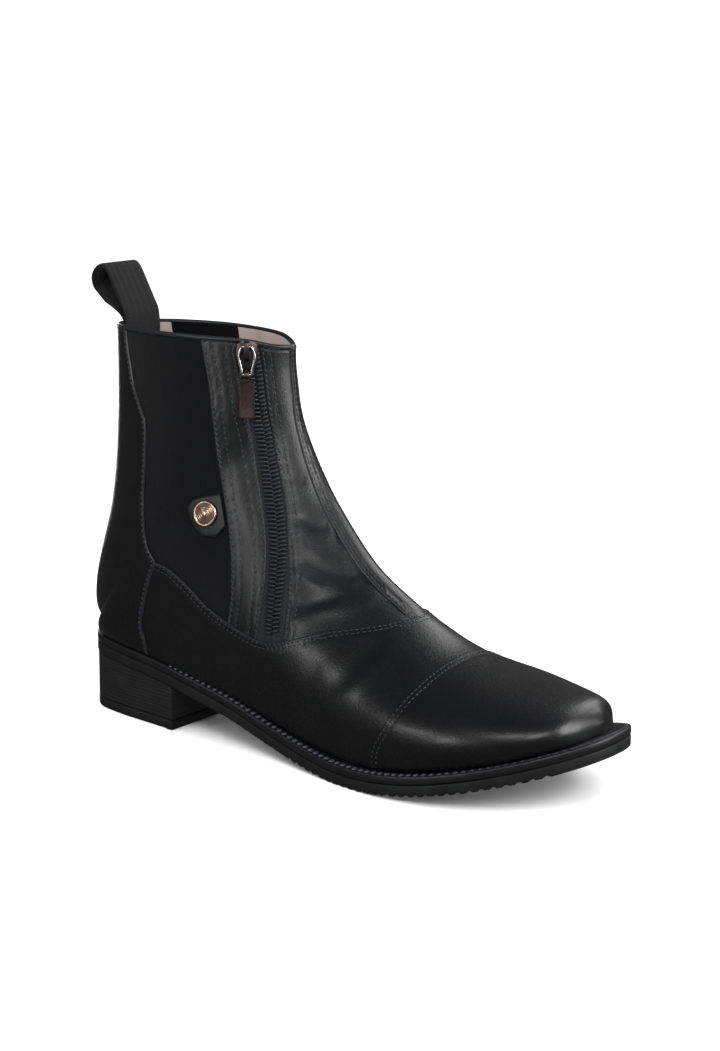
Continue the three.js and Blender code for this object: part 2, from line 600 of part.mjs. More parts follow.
// Pull loop: folded webbing that leans back, both ends inside the collar
const loop_path = [
  [0.0720, 0.900], [0.0715, 0.995], [0.064, 1.020], [0.045, 1.045], [0.026, 1.070], [0.0110, 1.092], [0.0075, 1.117],
  [0.015, 1.139], [0.029, 1.149], [0.040, 1.136], [0.056, 1.094], [0.073, 1.044], [0.0795, 1.000], [0.0805, 0.900],
];
const loop_half = 0.06 * ball_width * 2;
const loop_thickness = 1.4;
const loop_line = side_points(loop_path);
const loop_curve = new THREE.SplineCurve(loop_line).getPoints(30);
const inside_collar = last_solid(overlay + wall + gap, 8).add(plan_prism([
  new THREE.Vector2(along(-0.3), -beyond),
  new THREE.Vector2(along(0.5), -beyond),
  new THREE.Vector2(along(0.5), beyond),
  new THREE.Vector2(along(-0.3), beyond),
], boot_height * 1.004 + gap, boot_height * 1.5));
const pull_loop = side_prism(ribbon(loop_curve, loop_thickness / 2), -loop_half, loop_half).intersect(inside_collar);

// Insole inside the upper, on the turned-in margin
const insole_low = overlay + wall + gap;
const insole_thickness = 2;
const insole_inset = overlay + wall + 0.9;
const insole = plan_prism(
  plan_loop(feather_back + insole_inset + 2.2, feather_front - insole_inset - 3, (x) => feather(x, insole_inset), 28),
  below_all,
  boot_height * 0.4,
).intersect(band(along(-0.05), along(1.05), (x) => bed(x) + insole_low, (x) => bed(x) + insole_low + insole_thickness, 30))
  .intersect(last_solid(insole_low - 0.1, 0));

// Welt, outsole and heel, one gap apart
const sole_prism = plan_prism(plan_loop(heel_back, along(1), (x) => edges(share_of(x)).slice(0, 2), 34), below_all, boot_height * 0.4);
const welt_thickness = sole_thickness - outsole_thickness - 2 * gap;
const welt = sole_prism
  .intersect(band(along(-0.05), along(1.05), (x) => bed(x) - gap - welt_thickness, (x) => bed(x) - gap, 32));

const outsole_top = (x) => bed(x) - sole_thickness + outsole_thickness;
const outsole_bottom = (x) => bed(x) - sole_thickness;
const rib_from = 0.50;
const rib_to = 0.955;
const rib_count = 28;
const rib_depth = 0.8;
const rib_pitch = (rib_to - rib_from) / rib_count;
const under_line = [];
for (let k = 0; k <= 16; k += 1) {
  const x = along(-0.03 + (rib_from + 0.03) * k / 16);
  under_line.push(new THREE.Vector2(x, outsole_bottom(x)));
}
for (let k = 0; k < rib_count; k += 1) {
  const start = rib_from + k * rib_pitch;
  const [a, b, c] = [0.22, 0.40, 0.62].map((part) => along(start + part * rib_pitch));
  under_line.push(new THREE.Vector2(a, outsole_bottom(a) + rib_depth));
  under_line.push(new THREE.Vector2(b, outsole_bottom(b) + rib_depth));
  under_line.push(new THREE.Vector2(c, outsole_bottom(c)));
  under_line.push(new THREE.Vector2(along(start + rib_pitch), outsole_bottom(along(start + rib_pitch))));
}
for (let k = 1; k <= 4; k += 1) {
  const x = along(rib_to + (1.04 - rib_to) * k / 4);
  under_line.push(new THREE.Vector2(x, outsole_bottom(x)));
}
const over_line = [];
for (let k = 0; k <= 32; k += 1) {
  const x = along(1.04 - 1.07 * k / 32);
  over_line.push(new THREE.Vector2(x, outsole_top(x)));
}
const outsole = sole_prism.intersect(side_prism([...under_line, ...over_line], -beyond, beyond));

const top_piece_thickness = 4.5;
const heel_outline = (inset) => plan_loop(heel_back + inset, along(breast_line), (x) => {
  const share = clamp((x - heel_back - inset) / (sole_length - 2 * inset), 0, 1);
  const [outer, inner] = edges(share);
  return [Math.min(outer + inset, 0), Math.max(inner - inset, 0)];
}, 26);
const heel_plan = (inset) => {
  const loop = heel_outline(inset);
  return plan_prism(loop.filter((p) => p.x <= along(breast_line)), below_all, boot_height * 0.4);
};
const heel_stack = heel_plan(0.6)
  .intersect(band(along(-0.05), along(0.30), () => top_piece_thickness + gap, (x) => outsole_bottom(x) - gap, 12));
const heel_top_piece = heel_plan(0.2).intersect(band(along(-0.05), along(0.30), () => 0, () => top_piece_thickness, 2));

// Materials
const finish = (color, roughness, metalness) => new THREE.MeshStandardMaterial({ color, roughness, metalness });
const black_leather = finish(0x17181b, 0.38, 0);
const elastic = finish(0x1c1e20, 0.92, 0);
const tape_cloth = finish(0x141517, 0.85, 0);
const coil_plastic = finish(0x101113, 0.5, 0);
const dark_metal = finish(0x4a4140, 0.28, 1);
const bright_wire = finish(0x9a9694, 0.25, 1);
const rose_brass = finish(0xb99a82, 0.32, 1);
const webbing = finish(0x1b1c1e, 0.8, 0);
const insole_lining = finish(0xcbb8ab, 0.8, 0);
const welt_leather = finish(0x121214, 0.5, 0);
const sole_rubber = finish(0x161617, 0.7, 0);
const heel_leather = finish(0x1b1a1b, 0.6, 0);

// Group of named pieces
const group = new THREE.Group();
const add_solid = (name, body, material) => {
  const mesh = body.getMesh();
  const geometry = new THREE.BufferGeometry();
  geometry.setAttribute("position", new THREE.Float32BufferAttribute(mesh.vertProperties, 3));
  geometry.setIndex(Array.from(mesh.triVerts));
  const piece = new THREE.Mesh(geometry, material);
  piece.name = name;
  group.add(piece);
  return piece;
};
add_solid("upper", upper, black_leather);
add_solid("gore_lateral", gore_lateral, elastic);
add_solid("gore_medial", gore_medial, elastic);
add_solid("zip_tape", zip_tape, tape_cloth);
add_solid("zip_teeth", zip_teeth, coil_plastic);
add_solid("snap_tab", snap_tab, black_leather);
add_solid("pull_loop", pull_loop, webbing);
add_solid("insole", insole, insole_lining);
add_solid("welt", welt, welt_leather);
add_solid("outsole", outsole, sole_rubber);
add_solid("heel_stack", heel_stack, heel_leather);
add_solid("heel_top_piece", heel_top_piece, sole_rubber);

const snap_button = new THREE.Mesh(positions_only(snap_geometry), rose_brass);
snap_button.name = "snap_button";
snap_button.position.copy(snap_spot.point);
snap_button.quaternion.copy(frame_at(snap_spot, new THREE.Vector3(0, 0, -1)).turn);
group.add(snap_button);

const slider = add_solid("zip_slider", slider_solid, dark_metal);
slider.position.copy(slider_spot.point);
slider.quaternion.copy(slider_frame.turn);

const window_middle = window_top - window_half;
const wire_place = slider_spot.point.clone()
  .addScaledVector(slider_frame.y_axis, window_middle)
  .addScaledVector(slider_frame.z_axis, hole_out - 0.1);
const wire = new THREE.Mesh(closed_sweep(wire_rings), bright_wire);
wire.name = "zip_link";
wire.position.copy(wire_place);
wire.quaternion.copy(slider_frame.turn);
group.add(wire);

const pull_tab = add_solid("zip_tab", tab_solid, dark_metal);
pull_tab.position.copy(wire_place).addScaledVector(slider_frame.y_axis, -wire_drop);
pull_tab.quaternion.copy(slider_frame.turn);

export default group;
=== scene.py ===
import json
import math

import bmesh
import bpy
import numpy as np
from mathutils import Matrix, Vector

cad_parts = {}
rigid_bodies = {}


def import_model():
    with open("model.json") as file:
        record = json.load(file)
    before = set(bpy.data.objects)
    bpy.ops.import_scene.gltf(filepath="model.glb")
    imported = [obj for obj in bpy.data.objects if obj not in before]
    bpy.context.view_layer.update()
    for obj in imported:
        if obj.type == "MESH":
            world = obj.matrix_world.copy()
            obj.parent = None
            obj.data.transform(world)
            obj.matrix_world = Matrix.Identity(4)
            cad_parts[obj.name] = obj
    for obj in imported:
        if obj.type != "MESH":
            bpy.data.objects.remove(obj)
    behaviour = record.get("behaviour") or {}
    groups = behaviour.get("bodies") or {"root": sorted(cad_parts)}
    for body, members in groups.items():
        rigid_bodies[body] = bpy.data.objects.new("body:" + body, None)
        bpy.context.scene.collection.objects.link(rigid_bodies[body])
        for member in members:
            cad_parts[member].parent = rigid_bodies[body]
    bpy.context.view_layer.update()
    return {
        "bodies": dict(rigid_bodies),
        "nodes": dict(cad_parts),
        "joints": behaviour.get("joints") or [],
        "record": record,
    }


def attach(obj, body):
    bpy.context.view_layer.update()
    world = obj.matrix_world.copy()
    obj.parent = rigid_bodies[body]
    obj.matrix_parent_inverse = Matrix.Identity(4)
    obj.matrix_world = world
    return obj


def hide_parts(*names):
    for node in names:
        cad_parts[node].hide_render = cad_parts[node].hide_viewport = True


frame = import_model()

# Vamp and quarter: one piece of smooth black calf, pulled over the last and cemented under the foot.
# Its upper edge lies on the elastic, the zip facing and the front panel, held by two rows of stitches.
# The last is a fan of sections from the toe tip to the collar, in millimetres, as the CAD part has it.
sole_length = 282.0
ball_width = 100.0
boot_height = 183.0
seat_rise = 27.5
sole_thickness = 9.5
outsole_thickness = 5.2
toe_spring = 22.0
leather_wall = 1.8
overlay = 0.8
gap = 0.3
heel_back = -0.1277 * sole_length
spring_start = 0.635

# Columns: along, outer edge, inner edge, inset of the upper, as shares of the length and of the ball width
outline_table = [
    [0.000, 0.000, 0.000, 0.010],
    [0.012, -0.136, 0.142, 0.010],
    [0.040, -0.222, 0.240, 0.010],
    [0.100, -0.272, 0.304, 0.010],
    [0.180, -0.302, 0.312, 0.012],
    [0.270, -0.332, 0.280, 0.018],
    [0.360, -0.345, 0.252, 0.030],
    [0.450, -0.380, 0.258, 0.045],
    [0.540, -0.430, 0.320, 0.055],
    [0.620, -0.476, 0.400, 0.060],
    [0.690, -0.498, 0.460, 0.060],
    [0.760, -0.488, 0.483, 0.060],
    [0.830, -0.438, 0.463, 0.060],
    [0.890, -0.360, 0.415, 0.060],
    [0.940, -0.268, 0.350, 0.070],
    [0.975, -0.165, 0.268, 0.075],
    [0.995, -0.050, 0.154, 0.075],
    [1.000, 0.050, 0.050, 0.075],
]

# Columns: along, share of the seat rise
bed_table = [
    [0.000, 1.000],
    [0.100, 0.909],
    [0.227, 0.764],
    [0.340, 0.527],
    [0.454, 0.236],
    [0.546, 0.055],
    [0.605, 0.000],
    [0.660, 0.000],
    [1.200, 0.000],
]

# Columns: top along, top up, back along, back rise over the bed, outer half, inner half, ridge to the inner side,
# share of the depth at the widest, roundness above it, roundness below it, rings up to the next section
last_table = [
    [0.9720, 0.0840, 0.9720, 0.0040, 0.012, 0.012, 0.050, 0.50, 2.00, 2.00, 6],
    [0.9600, 0.1143, 0.9640, 0.0000, 0.120, 0.145, 0.060, 0.55, 2.00, 2.00, 8],
    [0.9397, 0.1417, 0.9450, 0.0000, 0.240, 0.250, 0.060, 0.60, 2.10, 2.20, 13],
    [0.8864, 0.1776, 0.8950, 0.0000, 0.360, 0.350, 0.050, 0.66, 2.20, 2.30, 19],
    [0.8045, 0.2260, 0.8156, 0.0000, 0.445, 0.445, 0.040, 0.68, 2.20, 2.30, 22],
    [0.7112, 0.2850, 0.7234, 0.0000, 0.465, 0.430, 0.060, 0.70, 2.00, 2.30, 22],
    [0.6233, 0.3675, 0.6170, 0.0000, 0.430, 0.380, 0.080, 0.72, 1.85, 2.30, 22],
    [0.5360, 0.4567, 0.5035, 0.0000, 0.380, 0.340, 0.090, 0.72, 1.80, 2.30, 30],
    [0.4640, 0.5857, 0.3759, 0.0000, 0.340, 0.320, 0.090, 0.70, 1.80, 2.30, 32],
    [0.4294, 0.6760, 0.2234, 0.0000, 0.320, 0.320, 0.080, 0.66, 1.80, 2.20, 28],
    [0.4076, 0.7532, 0.0851, 0.0000, 0.316, 0.314, 0.070, 0.60, 1.80, 2.25, 18],
    [0.3967, 0.8020, 0.0106, 0.0055, 0.309, 0.306, 0.065, 0.55, 1.80, 2.30, 18],
    [0.3908, 0.8449, -0.0035, 0.1000, 0.299, 0.295, 0.060, 0.51, 1.80, 2.30, 34],
    [0.3870, 0.8864, 0.0320, 0.3356, 0.277, 0.275, 0.060, 0.50, 1.80, 2.20, 34],
    [0.3843, 0.9328, 0.0415, 0.5573, 0.252, 0.252, 0.060, 0.50, 1.80, 2.08, 38],
    [0.3849, 0.9885, 0.0388, 0.8084, 0.230, 0.230, 0.060, 0.50, 1.80, 2.00, 1],
]
last_section = len(last_table) - 1
points_down_a_side = 104
# The sections run on straight up over the last one, by this height for one more step
over_top = 10.0


def smooth(places, rows, at):
    """Smooth curve through rows of values at rising places, for an array of places."""
    places = np.asarray(places, float)
    rows = np.asarray(rows, float)
    at = np.asarray(at, float)
    space = np.diff(places)[:, None]
    step = np.diff(rows, axis=0) / space
    slope = np.empty_like(rows)
    slope[1:-1] = (step[:-1] * space[1:] + step[1:] * space[:-1]) / (space[:-1] + space[1:])
    slope[0] = 1.5 * step[0] - 0.5 * slope[1]
    slope[-1] = 1.5 * step[-1] - 0.5 * slope[-2]
    i = np.clip(np.searchsorted(places, at, side="right") - 1, 0, len(places) - 2)
    h = space[i]
    t = (at - places[i])[..., None] / h
    low = (2 * t**3 - 3 * t**2 + 1) * rows[i] + (t**3 - 2 * t**2 + t) * h * slope[i]
    return low + (3 * t**2 - 2 * t**3) * rows[i + 1] + (t**3 - t**2) * h * slope[i + 1]


def along(share):
    return heel_back + np.asarray(share) * sole_length


def share_of(x):
    return (np.asarray(x, float) - heel_back) / sole_length


def tread(x):
    return toe_spring * np.maximum(0, (share_of(x) - spring_start) / (1 - spring_start)) ** 1.7


def bed(x):
    places, rises = zip(*bed_table)
    rise = smooth(places, np.array(rises)[:, None], share_of(x))[..., 0]
    return sole_thickness + seat_rise * np.maximum(0, rise) + tread(x)


def stretched(share):
    return np.arccos(np.clip(1 - 2 * np.asarray(share, float), -1, 1)) / math.pi


def edges(share):
    """Outer edge, inner edge and inset of the upper, in millimetres."""
    table = np.array(outline_table)
    return smooth(stretched(table[:, 0]), table[:, 1:], stretched(share)) * ball_width


feather_back = heel_back + 0.0106 * sole_length
feather_front = heel_back + 0.9787 * sole_length


def feather(x, inset):
    back = feather_back + inset
    front = feather_front - inset
    outer, inner, welt = np.moveaxis(edges(np.clip((x - back) / (front - back), 0, 1)), -1, 0)
    half = (inner - outer) / 2
    middle = (inner + outer) / 2
    least = 0.8 * half * np.minimum(1, half / 20)
    drawn = np.maximum(np.maximum(half - welt - inset, least), 0)
    return middle - drawn, middle + drawn


def section_ends(s):
    v = smooth(range(len(last_table)), np.array(last_table)[:, :10], s)
    top_x = along(v[:, 0])
    top = np.stack([top_x, v[:, 1] * boot_height + tread(top_x)], 1)
    return v, top, along(v[:, 2]), np.maximum(0, v[:, 3] * boot_height)


def last_surface(s, u, inset):
    """Points on the last: s runs from the toe tip to the collar, u from -1 to 1 round the outer and inner sides."""
    step = 0.05
    over = np.maximum(0, s - last_section)
    s = np.minimum(s, last_section)
    v, top, back_x, rise = section_ends(s)
    run = section_ends(np.minimum(last_section, s + step))[1] - section_ends(np.maximum(0, s - step))[1]
    run /= np.linalg.norm(run, axis=1)[:, None]
    inward = np.stack([-run[:, 1], run[:, 0]], 1)
    back = np.stack([back_x, bed(back_x) + rise], 1)
    inward[np.sum(inward * (back - top), 1) < 0] *= -1
    tip = s < 0.5
    inward[tip] = (-1, 0)
    upright = np.minimum(1, rise / (6 * leather_wall))
    squeeze = (feather_front - feather_back - 2 * inset) / (feather_front - feather_back)
    low_x = np.where(tip, back_x - inset, feather_back + inset + (back_x - feather_back) * squeeze)
    raised = np.where(tip, 0, max(inset, 0) * (1 - upright))
    low = np.stack([low_x, bed(low_x) + rise + raised], 1)
    high = top + inward * inset
    outer_edge, inner_edge = feather(low_x, inset)
    on_bed = np.where(tip, 0, np.clip(1 - rise / 3, 0, 1))
    least_half = 0.4
    outer_side = u < 0
    half = np.maximum(np.where(outer_side, v[:, 4], v[:, 5]) * ball_width - inset, least_half + 0.1)
    foot = np.maximum(np.where(outer_side, -outer_edge, inner_edge) * on_bed, least_half)
    foot = np.minimum(foot, half - 0.05)
    q = np.abs(u)
    upper_part = q <= 0.5
    angle = np.where(upper_part, q, q - 0.5) * math.pi
    sine = np.sin(angle)
    cosine = np.maximum(np.cos(angle), 0)
    widest, above, below = v[:, 7], v[:, 8], v[:, 9]
    reach = sine ** (2 / above)
    down = np.where(upper_part, widest * (1 - cosine ** (2 / above)), widest + (1 - widest) * sine ** (2 / below))
    out = np.where(upper_part, half * reach, foot + (half - foot) * cosine ** (2 / below))
    ridge = v[:, 6] * ball_width * np.minimum(1, s)
    toe_middle = v[:, 6] * ball_width * np.maximum(0, 1 - s)
    y = toe_middle + np.where(outer_side, -1, 1) * out + np.where(upper_part, ridge * (1 - reach), 0)
    line = high + (low - high) * down[:, None]
    return np.stack([line[:, 0], y, line[:, 1] + over * over_top], 1)


def last_normals(s, u, inset):
    """Directions that face out of the last."""
    ds = 0.02
    du = 0.004
    run_s = last_surface(np.minimum(s + ds, last_section + 1), u, inset) - last_surface(np.maximum(s - ds, 0), u, inset)
    run_u = last_surface(s, np.minimum(u + du, 1), inset) - last_surface(s, np.maximum(u - du, -1), inset)
    normal = np.cross(run_u, run_s)
    return normal / np.maximum(np.linalg.norm(normal, axis=1), 1e-9)[:, None]


def side_line(rows, steps=8):
    """Smooth line in the side view through rows of along and up, in shares of the length and of the boot height."""
    p = np.array([(along(a), up * boot_height) for a, up in rows])
    p = np.vstack([p[:1], p, p[-1:]])
    t = np.linspace(0, 1, steps, endpoint=False)[:, None]
    parts = []
    for a, b, c, d in zip(p[:-3], p[1:-2], p[2:-1], p[3:]):
        leave = (c - a) / 2
        arrive = (d - b) / 2
        parts.append((2 * b - 2 * c + leave + arrive) * t**3 + (3 * c - 3 * b - 2 * leave - arrive) * t**2 + leave * t + b)
    return np.vstack(parts + [p[-1:]])


def line_distance(line, side, reach=90):
    """Distance over the surface to a side-view line, positive on one side: 1 is left of its travel, -1 is right."""
    first = line[0] + (line[0] - line[1]) / np.linalg.norm(line[0] - line[1]) * reach
    final = line[-1] + (line[-1] - line[-2]) / np.linalg.norm(line[-1] - line[-2]) * reach
    full = np.vstack([first, line, final])
    start = full[:-1]
    run = full[1:] - start
    length = np.sum(run**2, 1)

    def field(points, normals):
        flat = points[:, [0, 2]]
        result = np.empty(len(flat))
        for part in range(0, len(flat), 4000):
            away = flat[part:part + 4000, None] - start[None]
            t = np.clip(np.sum(away * run, 2) / length, 0, 1)
            miss = away - t[..., None] * run
            square = np.sum(miss**2, 2)
            near = np.argmin(square, 1)
            pick = np.arange(len(near))
            cross = run[near, 0] * miss[pick, near, 1] - run[near, 1] * miss[pick, near, 0]
            distance = np.sqrt(square[pick, near])
            aim = miss[pick, near] / np.maximum(distance, 1e-6)[:, None]
            facing = np.sum(aim * normals[part:part + 4000][:, [0, 2]], 1)
            slant = np.sqrt(np.clip(1 - facing**2, 0.12, 1))
            result[part:part + 4000] = side * np.sign(cross) * distance / slant
        return result

    return field


def outer_only(field):
    """The same distance on the outer side; the inner side counts as far inside."""
    return lambda points, normals: np.where(points[:, 1] < 0, field(points, normals), 99.0)


def inner_only(field):
    return lambda points, normals: np.where(points[:, 1] >= 0, field(points, normals), 99.0)


def last_grid(s_from, s_to):
    """Corners (s, u) and triangles of the last between two sections."""
    rings = [i + k / row[10] for i, row in enumerate(last_table[:-1]) for k in range(row[10])]
    rings += [last_section + k / 12 for k in range(13)]
    s = np.array([v for v in rings if s_from <= v <= s_to], float)
    u = np.linspace(-1, 1, 2 * points_down_a_side + 1)
    place = np.stack(np.meshgrid(s, u, indexing="ij"), 2).reshape(-1, 2)
    count = len(u)
    i, k = np.meshgrid(np.arange(len(s) - 1), np.arange(count - 1), indexing="ij")
    a = (i * count + k).ravel()
    b, c, d = a + 1, a + count + 1, a + count
    odd = ((i + k) % 2 == 1).ravel()
    first = np.where(odd[:, None], np.stack([a, b, d], 1), np.stack([a, b, c], 1))
    second = np.where(odd[:, None], np.stack([b, c, d], 1), np.stack([a, c, d], 1))
    faces = np.vstack([first, second])
    if s_from == 0:
        j = np.arange(points_down_a_side)
        mirror = count - 1 - j
        faces = np.vstack([faces, np.stack([j, mirror, j + 1], 1), np.stack([j + 1, mirror, mirror - 1], 1)])
    return place, faces, np.zeros(len(place), bool)


def split(place, faces, fixed, value, at, drop):
    """Splits triangles where value equals at, moving the nearest free corners onto that line."""
    value = value - at
    if drop:
        faces = faces[(value[faces] > 0).any(1)]
    sides = np.sort(faces[:, [0, 1, 1, 2, 2, 0]].reshape(-1, 2), axis=1)
    sides = np.unique(sides[value[sides[:, 0]] * value[sides[:, 1]] < 0], axis=0)
    a, b = sides.T
    t = value[a] / (value[a] - value[b])
    near = np.where(t < 0.5, a, b)
    other = np.where(t < 0.5, b, a)
    share = np.minimum(t, 1 - t)
    pick = np.flatnonzero((share < 0.33) & ~fixed[near])
    pick = pick[np.argsort(-share[pick])]
    place = place.copy()
    fixed = fixed.copy()
    place[near[pick]] += (place[other[pick]] - place[near[pick]]) * share[pick][:, None]
    value[near[pick]] = 0
    fixed[near[pick]] = True
    sides = sides[value[a] * value[b] < 0]
    a, b = sides.T
    t = (value[a] / (value[a] - value[b]))[:, None]
    count = len(place)
    key = a * count + b
    place = np.vstack([place, place[a] + (place[b] - place[a]) * t])
    fixed = np.concatenate([fixed, np.ones(len(a), bool)])
    value = np.concatenate([value, np.zeros(len(a))])

    def middle(p, q):
        return count + np.searchsorted(key, np.minimum(p, q) * count + np.maximum(p, q))

    crossed = np.stack([value[faces[:, k]] * value[faces[:, (k + 1) % 3]] < 0 for k in range(3)], 1)
    number = crossed.sum(1)
    kept = [faces[number == 0]]
    for k in range(3):
        p, q, r = faces[(number == 1) & crossed[:, (k + 1) % 3]][:, [k, (k + 1) % 3, (k + 2) % 3]].T
        m = middle(q, r)
        kept += [np.stack([p, q, m], 1), np.stack([p, m, r], 1)]
        p, q, r = faces[(number == 2) & ~crossed[:, (k + 1) % 3]][:, [k, (k + 1) % 3, (k + 2) % 3]].T
        m = middle(p, q)
        n = middle(p, r)
        kept += [np.stack([p, m, n], 1), np.stack([m, q, r], 1), np.stack([m, r, n], 1)]
    faces = np.vstack(kept)
    if drop:
        faces = faces[value[faces].sum(1) > 0]
    used, faces = np.unique(faces, return_inverse=True)
    return place[used], faces.reshape(-1, 3), fixed[used], value[used] + at


def cut(patch, level, field, distances, drop):
    """Splits a patch where field equals each distance, on the last drawn in by level; drop leaves out what lies below
    the first."""
    place, faces, fixed = patch
    s, u = place.T
    value = field(last_surface(s, u, level), last_normals(s, u, level))
    for number, distance in enumerate(distances):
        place, faces, fixed, value = split(place, faces, fixed, value, distance, drop and number == 0)
    return place, faces, fixed


def corner_normals(points, faces):
    """Smooth normals of a triangle mesh."""
    flat = np.cross(points[faces[:, 1]] - points[faces[:, 0]], points[faces[:, 2]] - points[faces[:, 0]])
    normal = np.zeros_like(points)
    for k in range(3):
        np.add.at(normal, faces[:, k], flat)
    return normal / np.maximum(np.linalg.norm(normal, axis=1), 1e-9)[:, None]


def mesh_piece(name, points, faces, body="boot"):
    """A smooth piece from millimetre points, riding on a body."""
    mesh = bpy.data.meshes.new(name)
    mesh.from_pydata((points * 0.001).tolist(), [], faces.tolist() if isinstance(faces, np.ndarray) else faces)
    mesh.shade_smooth()
    piece = bpy.data.objects.new(name, mesh)
    bpy.context.scene.collection.objects.link(piece)
    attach(piece, body)
    return piece


# How an edge of leather rolls down: distance from the edge, height over the panel's face
raw_edge = [(0.0, -0.95), (0.12, -0.42), (0.38, -0.10), (0.9, 0.0)]
groove_half = 0.75
groove_depth = 0.2


def panel(name, span, level, rolled, hidden=(), rows=(), relief=None, inside=False):
    """A leather panel on the last. rolled: (field, edge profile). hidden: (field, how far it runs on underneath).
    rows: (index of the rolled field, distance) of the stitch rows, which lie in shallow grooves."""
    patch = last_grid(*span)
    for field, reach in hidden:
        patch = cut(patch, level, field, [-reach], True)
    for index, (field, profile) in enumerate(rolled):
        stitched = [distance for row_index, distance in rows if row_index == index]
        patch = cut(patch, level, field, [distance for distance, _ in profile] + stitched, True)
    place, faces, _ = patch
    s, u = place.T
    points = last_surface(s, u, level)
    normals = last_normals(s, u, level)
    reach = [field(points, normals) for field, _ in rolled]
    height = np.zeros(len(points))
    for (_, profile), distance in zip(rolled, reach):
        height = np.minimum(height, np.interp(distance, *zip(*profile)))
    for index, distance in rows:
        height -= groove_depth * np.clip(1 - np.abs(reach[index] - distance) / groove_half, 0, 1)
    if relief:
        height += relief(points)
    points = points + corner_normals(points, faces) * height[:, None]
    if inside:
        faces = faces[:, ::-1]
    piece = mesh_piece(name, points, faces)
    # Distance to the nearest rolled edge; the calf materials use it to paint a highlight along the edges
    edge = piece.data.attributes.new("edge", "FLOAT", "POINT")
    nearest = np.min(reach, 0) if reach else np.full(len(points), 99.0)
    edge.data.foreach_set("value", nearest.astype(np.float32))
    return {"piece": piece, "points": points, "faces": faces, "normals": corner_normals(points, faces), "reach": reach}


def contour(made, values, level):
    """Lines over a panel where values equal level, as arrays of points with their normals."""
    points, faces, normals = made["points"], made["faces"], made["normals"]
    value = values - level
    value[value == 0] = 1e-6
    links = {}
    places = {}
    for face in faces[(np.ptp(np.sign(value[faces]), axis=1) > 0)]:
        ends = []
        for k in range(3):
            a, b = sorted((int(face[k]), int(face[(k + 1) % 3])))
            if value[a] * value[b] < 0:
                t = value[a] / (value[a] - value[b])
                places[(a, b)] = np.concatenate([points[a] + (points[b] - points[a]) * t, normals[a] + (normals[b] - normals[a]) * t])
                ends.append((a, b))
        links.setdefault(ends[0], []).append(ends[1])
        links.setdefault(ends[1], []).append(ends[0])
    lines = []
    unused = set(links)
    while unused:
        start = next((k for k in sorted(unused) if len(links[k]) == 1), None) or min(unused)
        chain = [start]
        unused.discard(start)
        while True:
            onward = [k for k in links[chain[-1]] if k in unused]
            if not onward:
                break
            chain.append(onward[0])
            unused.discard(onward[0])
        lines.append(np.array([places[k] for k in chain]))
    return lines


def evened(line, step):
    """A line resampled at even steps."""
    distance = np.concatenate([[0], np.cumsum(np.linalg.norm(np.diff(line[:, :3], axis=0), axis=1))])
    at = np.arange(0, distance[-1], step)
    return np.stack([np.interp(at, distance, line[:, k]) for k in range(line.shape[1])], 1)


def skin(rings, closed=False):
    """Points and faces through rings of equal length; an open skin is closed by its end rings."""
    sides = len(rings[0])
    count = len(rings)
    faces = []
    for i in range(count if closed else count - 1):
        a = i * sides
        b = (i + 1) % count * sides
        faces += [[a + k, a + (k + 1) % sides, b + (k + 1) % sides, b + k] for k in range(sides)]
    if not closed:
        faces += [list(range(sides))[::-1], [(count - 1) * sides + k for k in range(sides)]]
    return np.vstack(rings), faces


def short_rods(name, ends, radius, lift):
    """Small rounded rods between pairs of points, each with its outward direction, joined as one piece. radius is one
    number, or two: across and up."""
    across, upward = np.broadcast_to(radius, 2)
    angle = np.arange(6)[:, None] * math.pi / 3
    shape = ((-0.5, 0.35, -0.6), (-0.36, 0.95, -0.15), (0, 1, 0), (0.36, 0.95, -0.15), (0.5, 0.35, -0.6))
    template, faces = skin([np.hstack([0 * angle + t, np.cos(angle) * r, np.sin(angle) * r + sink]) for t, r, sink in shape])
    points = []
    every = []
    for start, end, out in ends:
        run = end - start
        length = np.linalg.norm(run)
        run = run / length
        out = out - run * np.dot(out, run)
        out = out / np.linalg.norm(out)
        axes = np.stack([run * length, np.cross(out, run) * across, out * upward])
        every += [[v + len(points) * len(template) for v in face] for face in faces]
        points.append((start + end) / 2 + out * lift + template @ axes)
    return mesh_piece(name, np.vstack(points), every)


def stitches(name, lines, pitch=2.5, radius=0.33, lift=0.05, fill=0.74):
    """Rows of thread stitches along lines of points and normals."""
    ends = []
    step = 0.25
    for line in lines:
        line = evened(line, step)
        if len(line) * step < 4 * pitch:
            continue
        for n in range(int(len(line) * step / pitch)):
            a = line[int(n * pitch / step)]
            b = line[min(int((n + fill) * pitch / step), len(line) - 1)]
            if np.linalg.norm(b[:3] - a[:3]) > 0.3 * pitch:
                ends.append((a[:3], b[:3], a[3:] + b[3:]))
    return short_rods(name, ends, radius, lift)


# The seams in the side view: along and up, in shares of the length and of the boot height
vamp_top = side_line([
    [0.199, 0.430], [0.231, 0.417], [0.268, 0.385], [0.304, 0.348], [0.340, 0.322], [0.390, 0.297], [0.435, 0.287],
    [0.482, 0.303], [0.538, 0.333], [0.588, 0.347], [0.622, 0.356], [0.636, 0.362], [0.650, 0.420], [0.660, 0.550],
])
counter_seam = side_line([
    [0.199, 0.430], [0.186, 0.383], [0.174, 0.328], [0.164, 0.267], [0.165, 0.238], [0.171, 0.203], [0.176, 0.10],
])
cap_seam = side_line([
    [0.668, -0.02], [0.672, 0.077], [0.678, 0.115], [0.696, 0.164], [0.711, 0.217], [0.722, 0.266], [0.725, 0.33],
    [0.725, 0.45],
])
LEFT = 1
RIGHT = -1


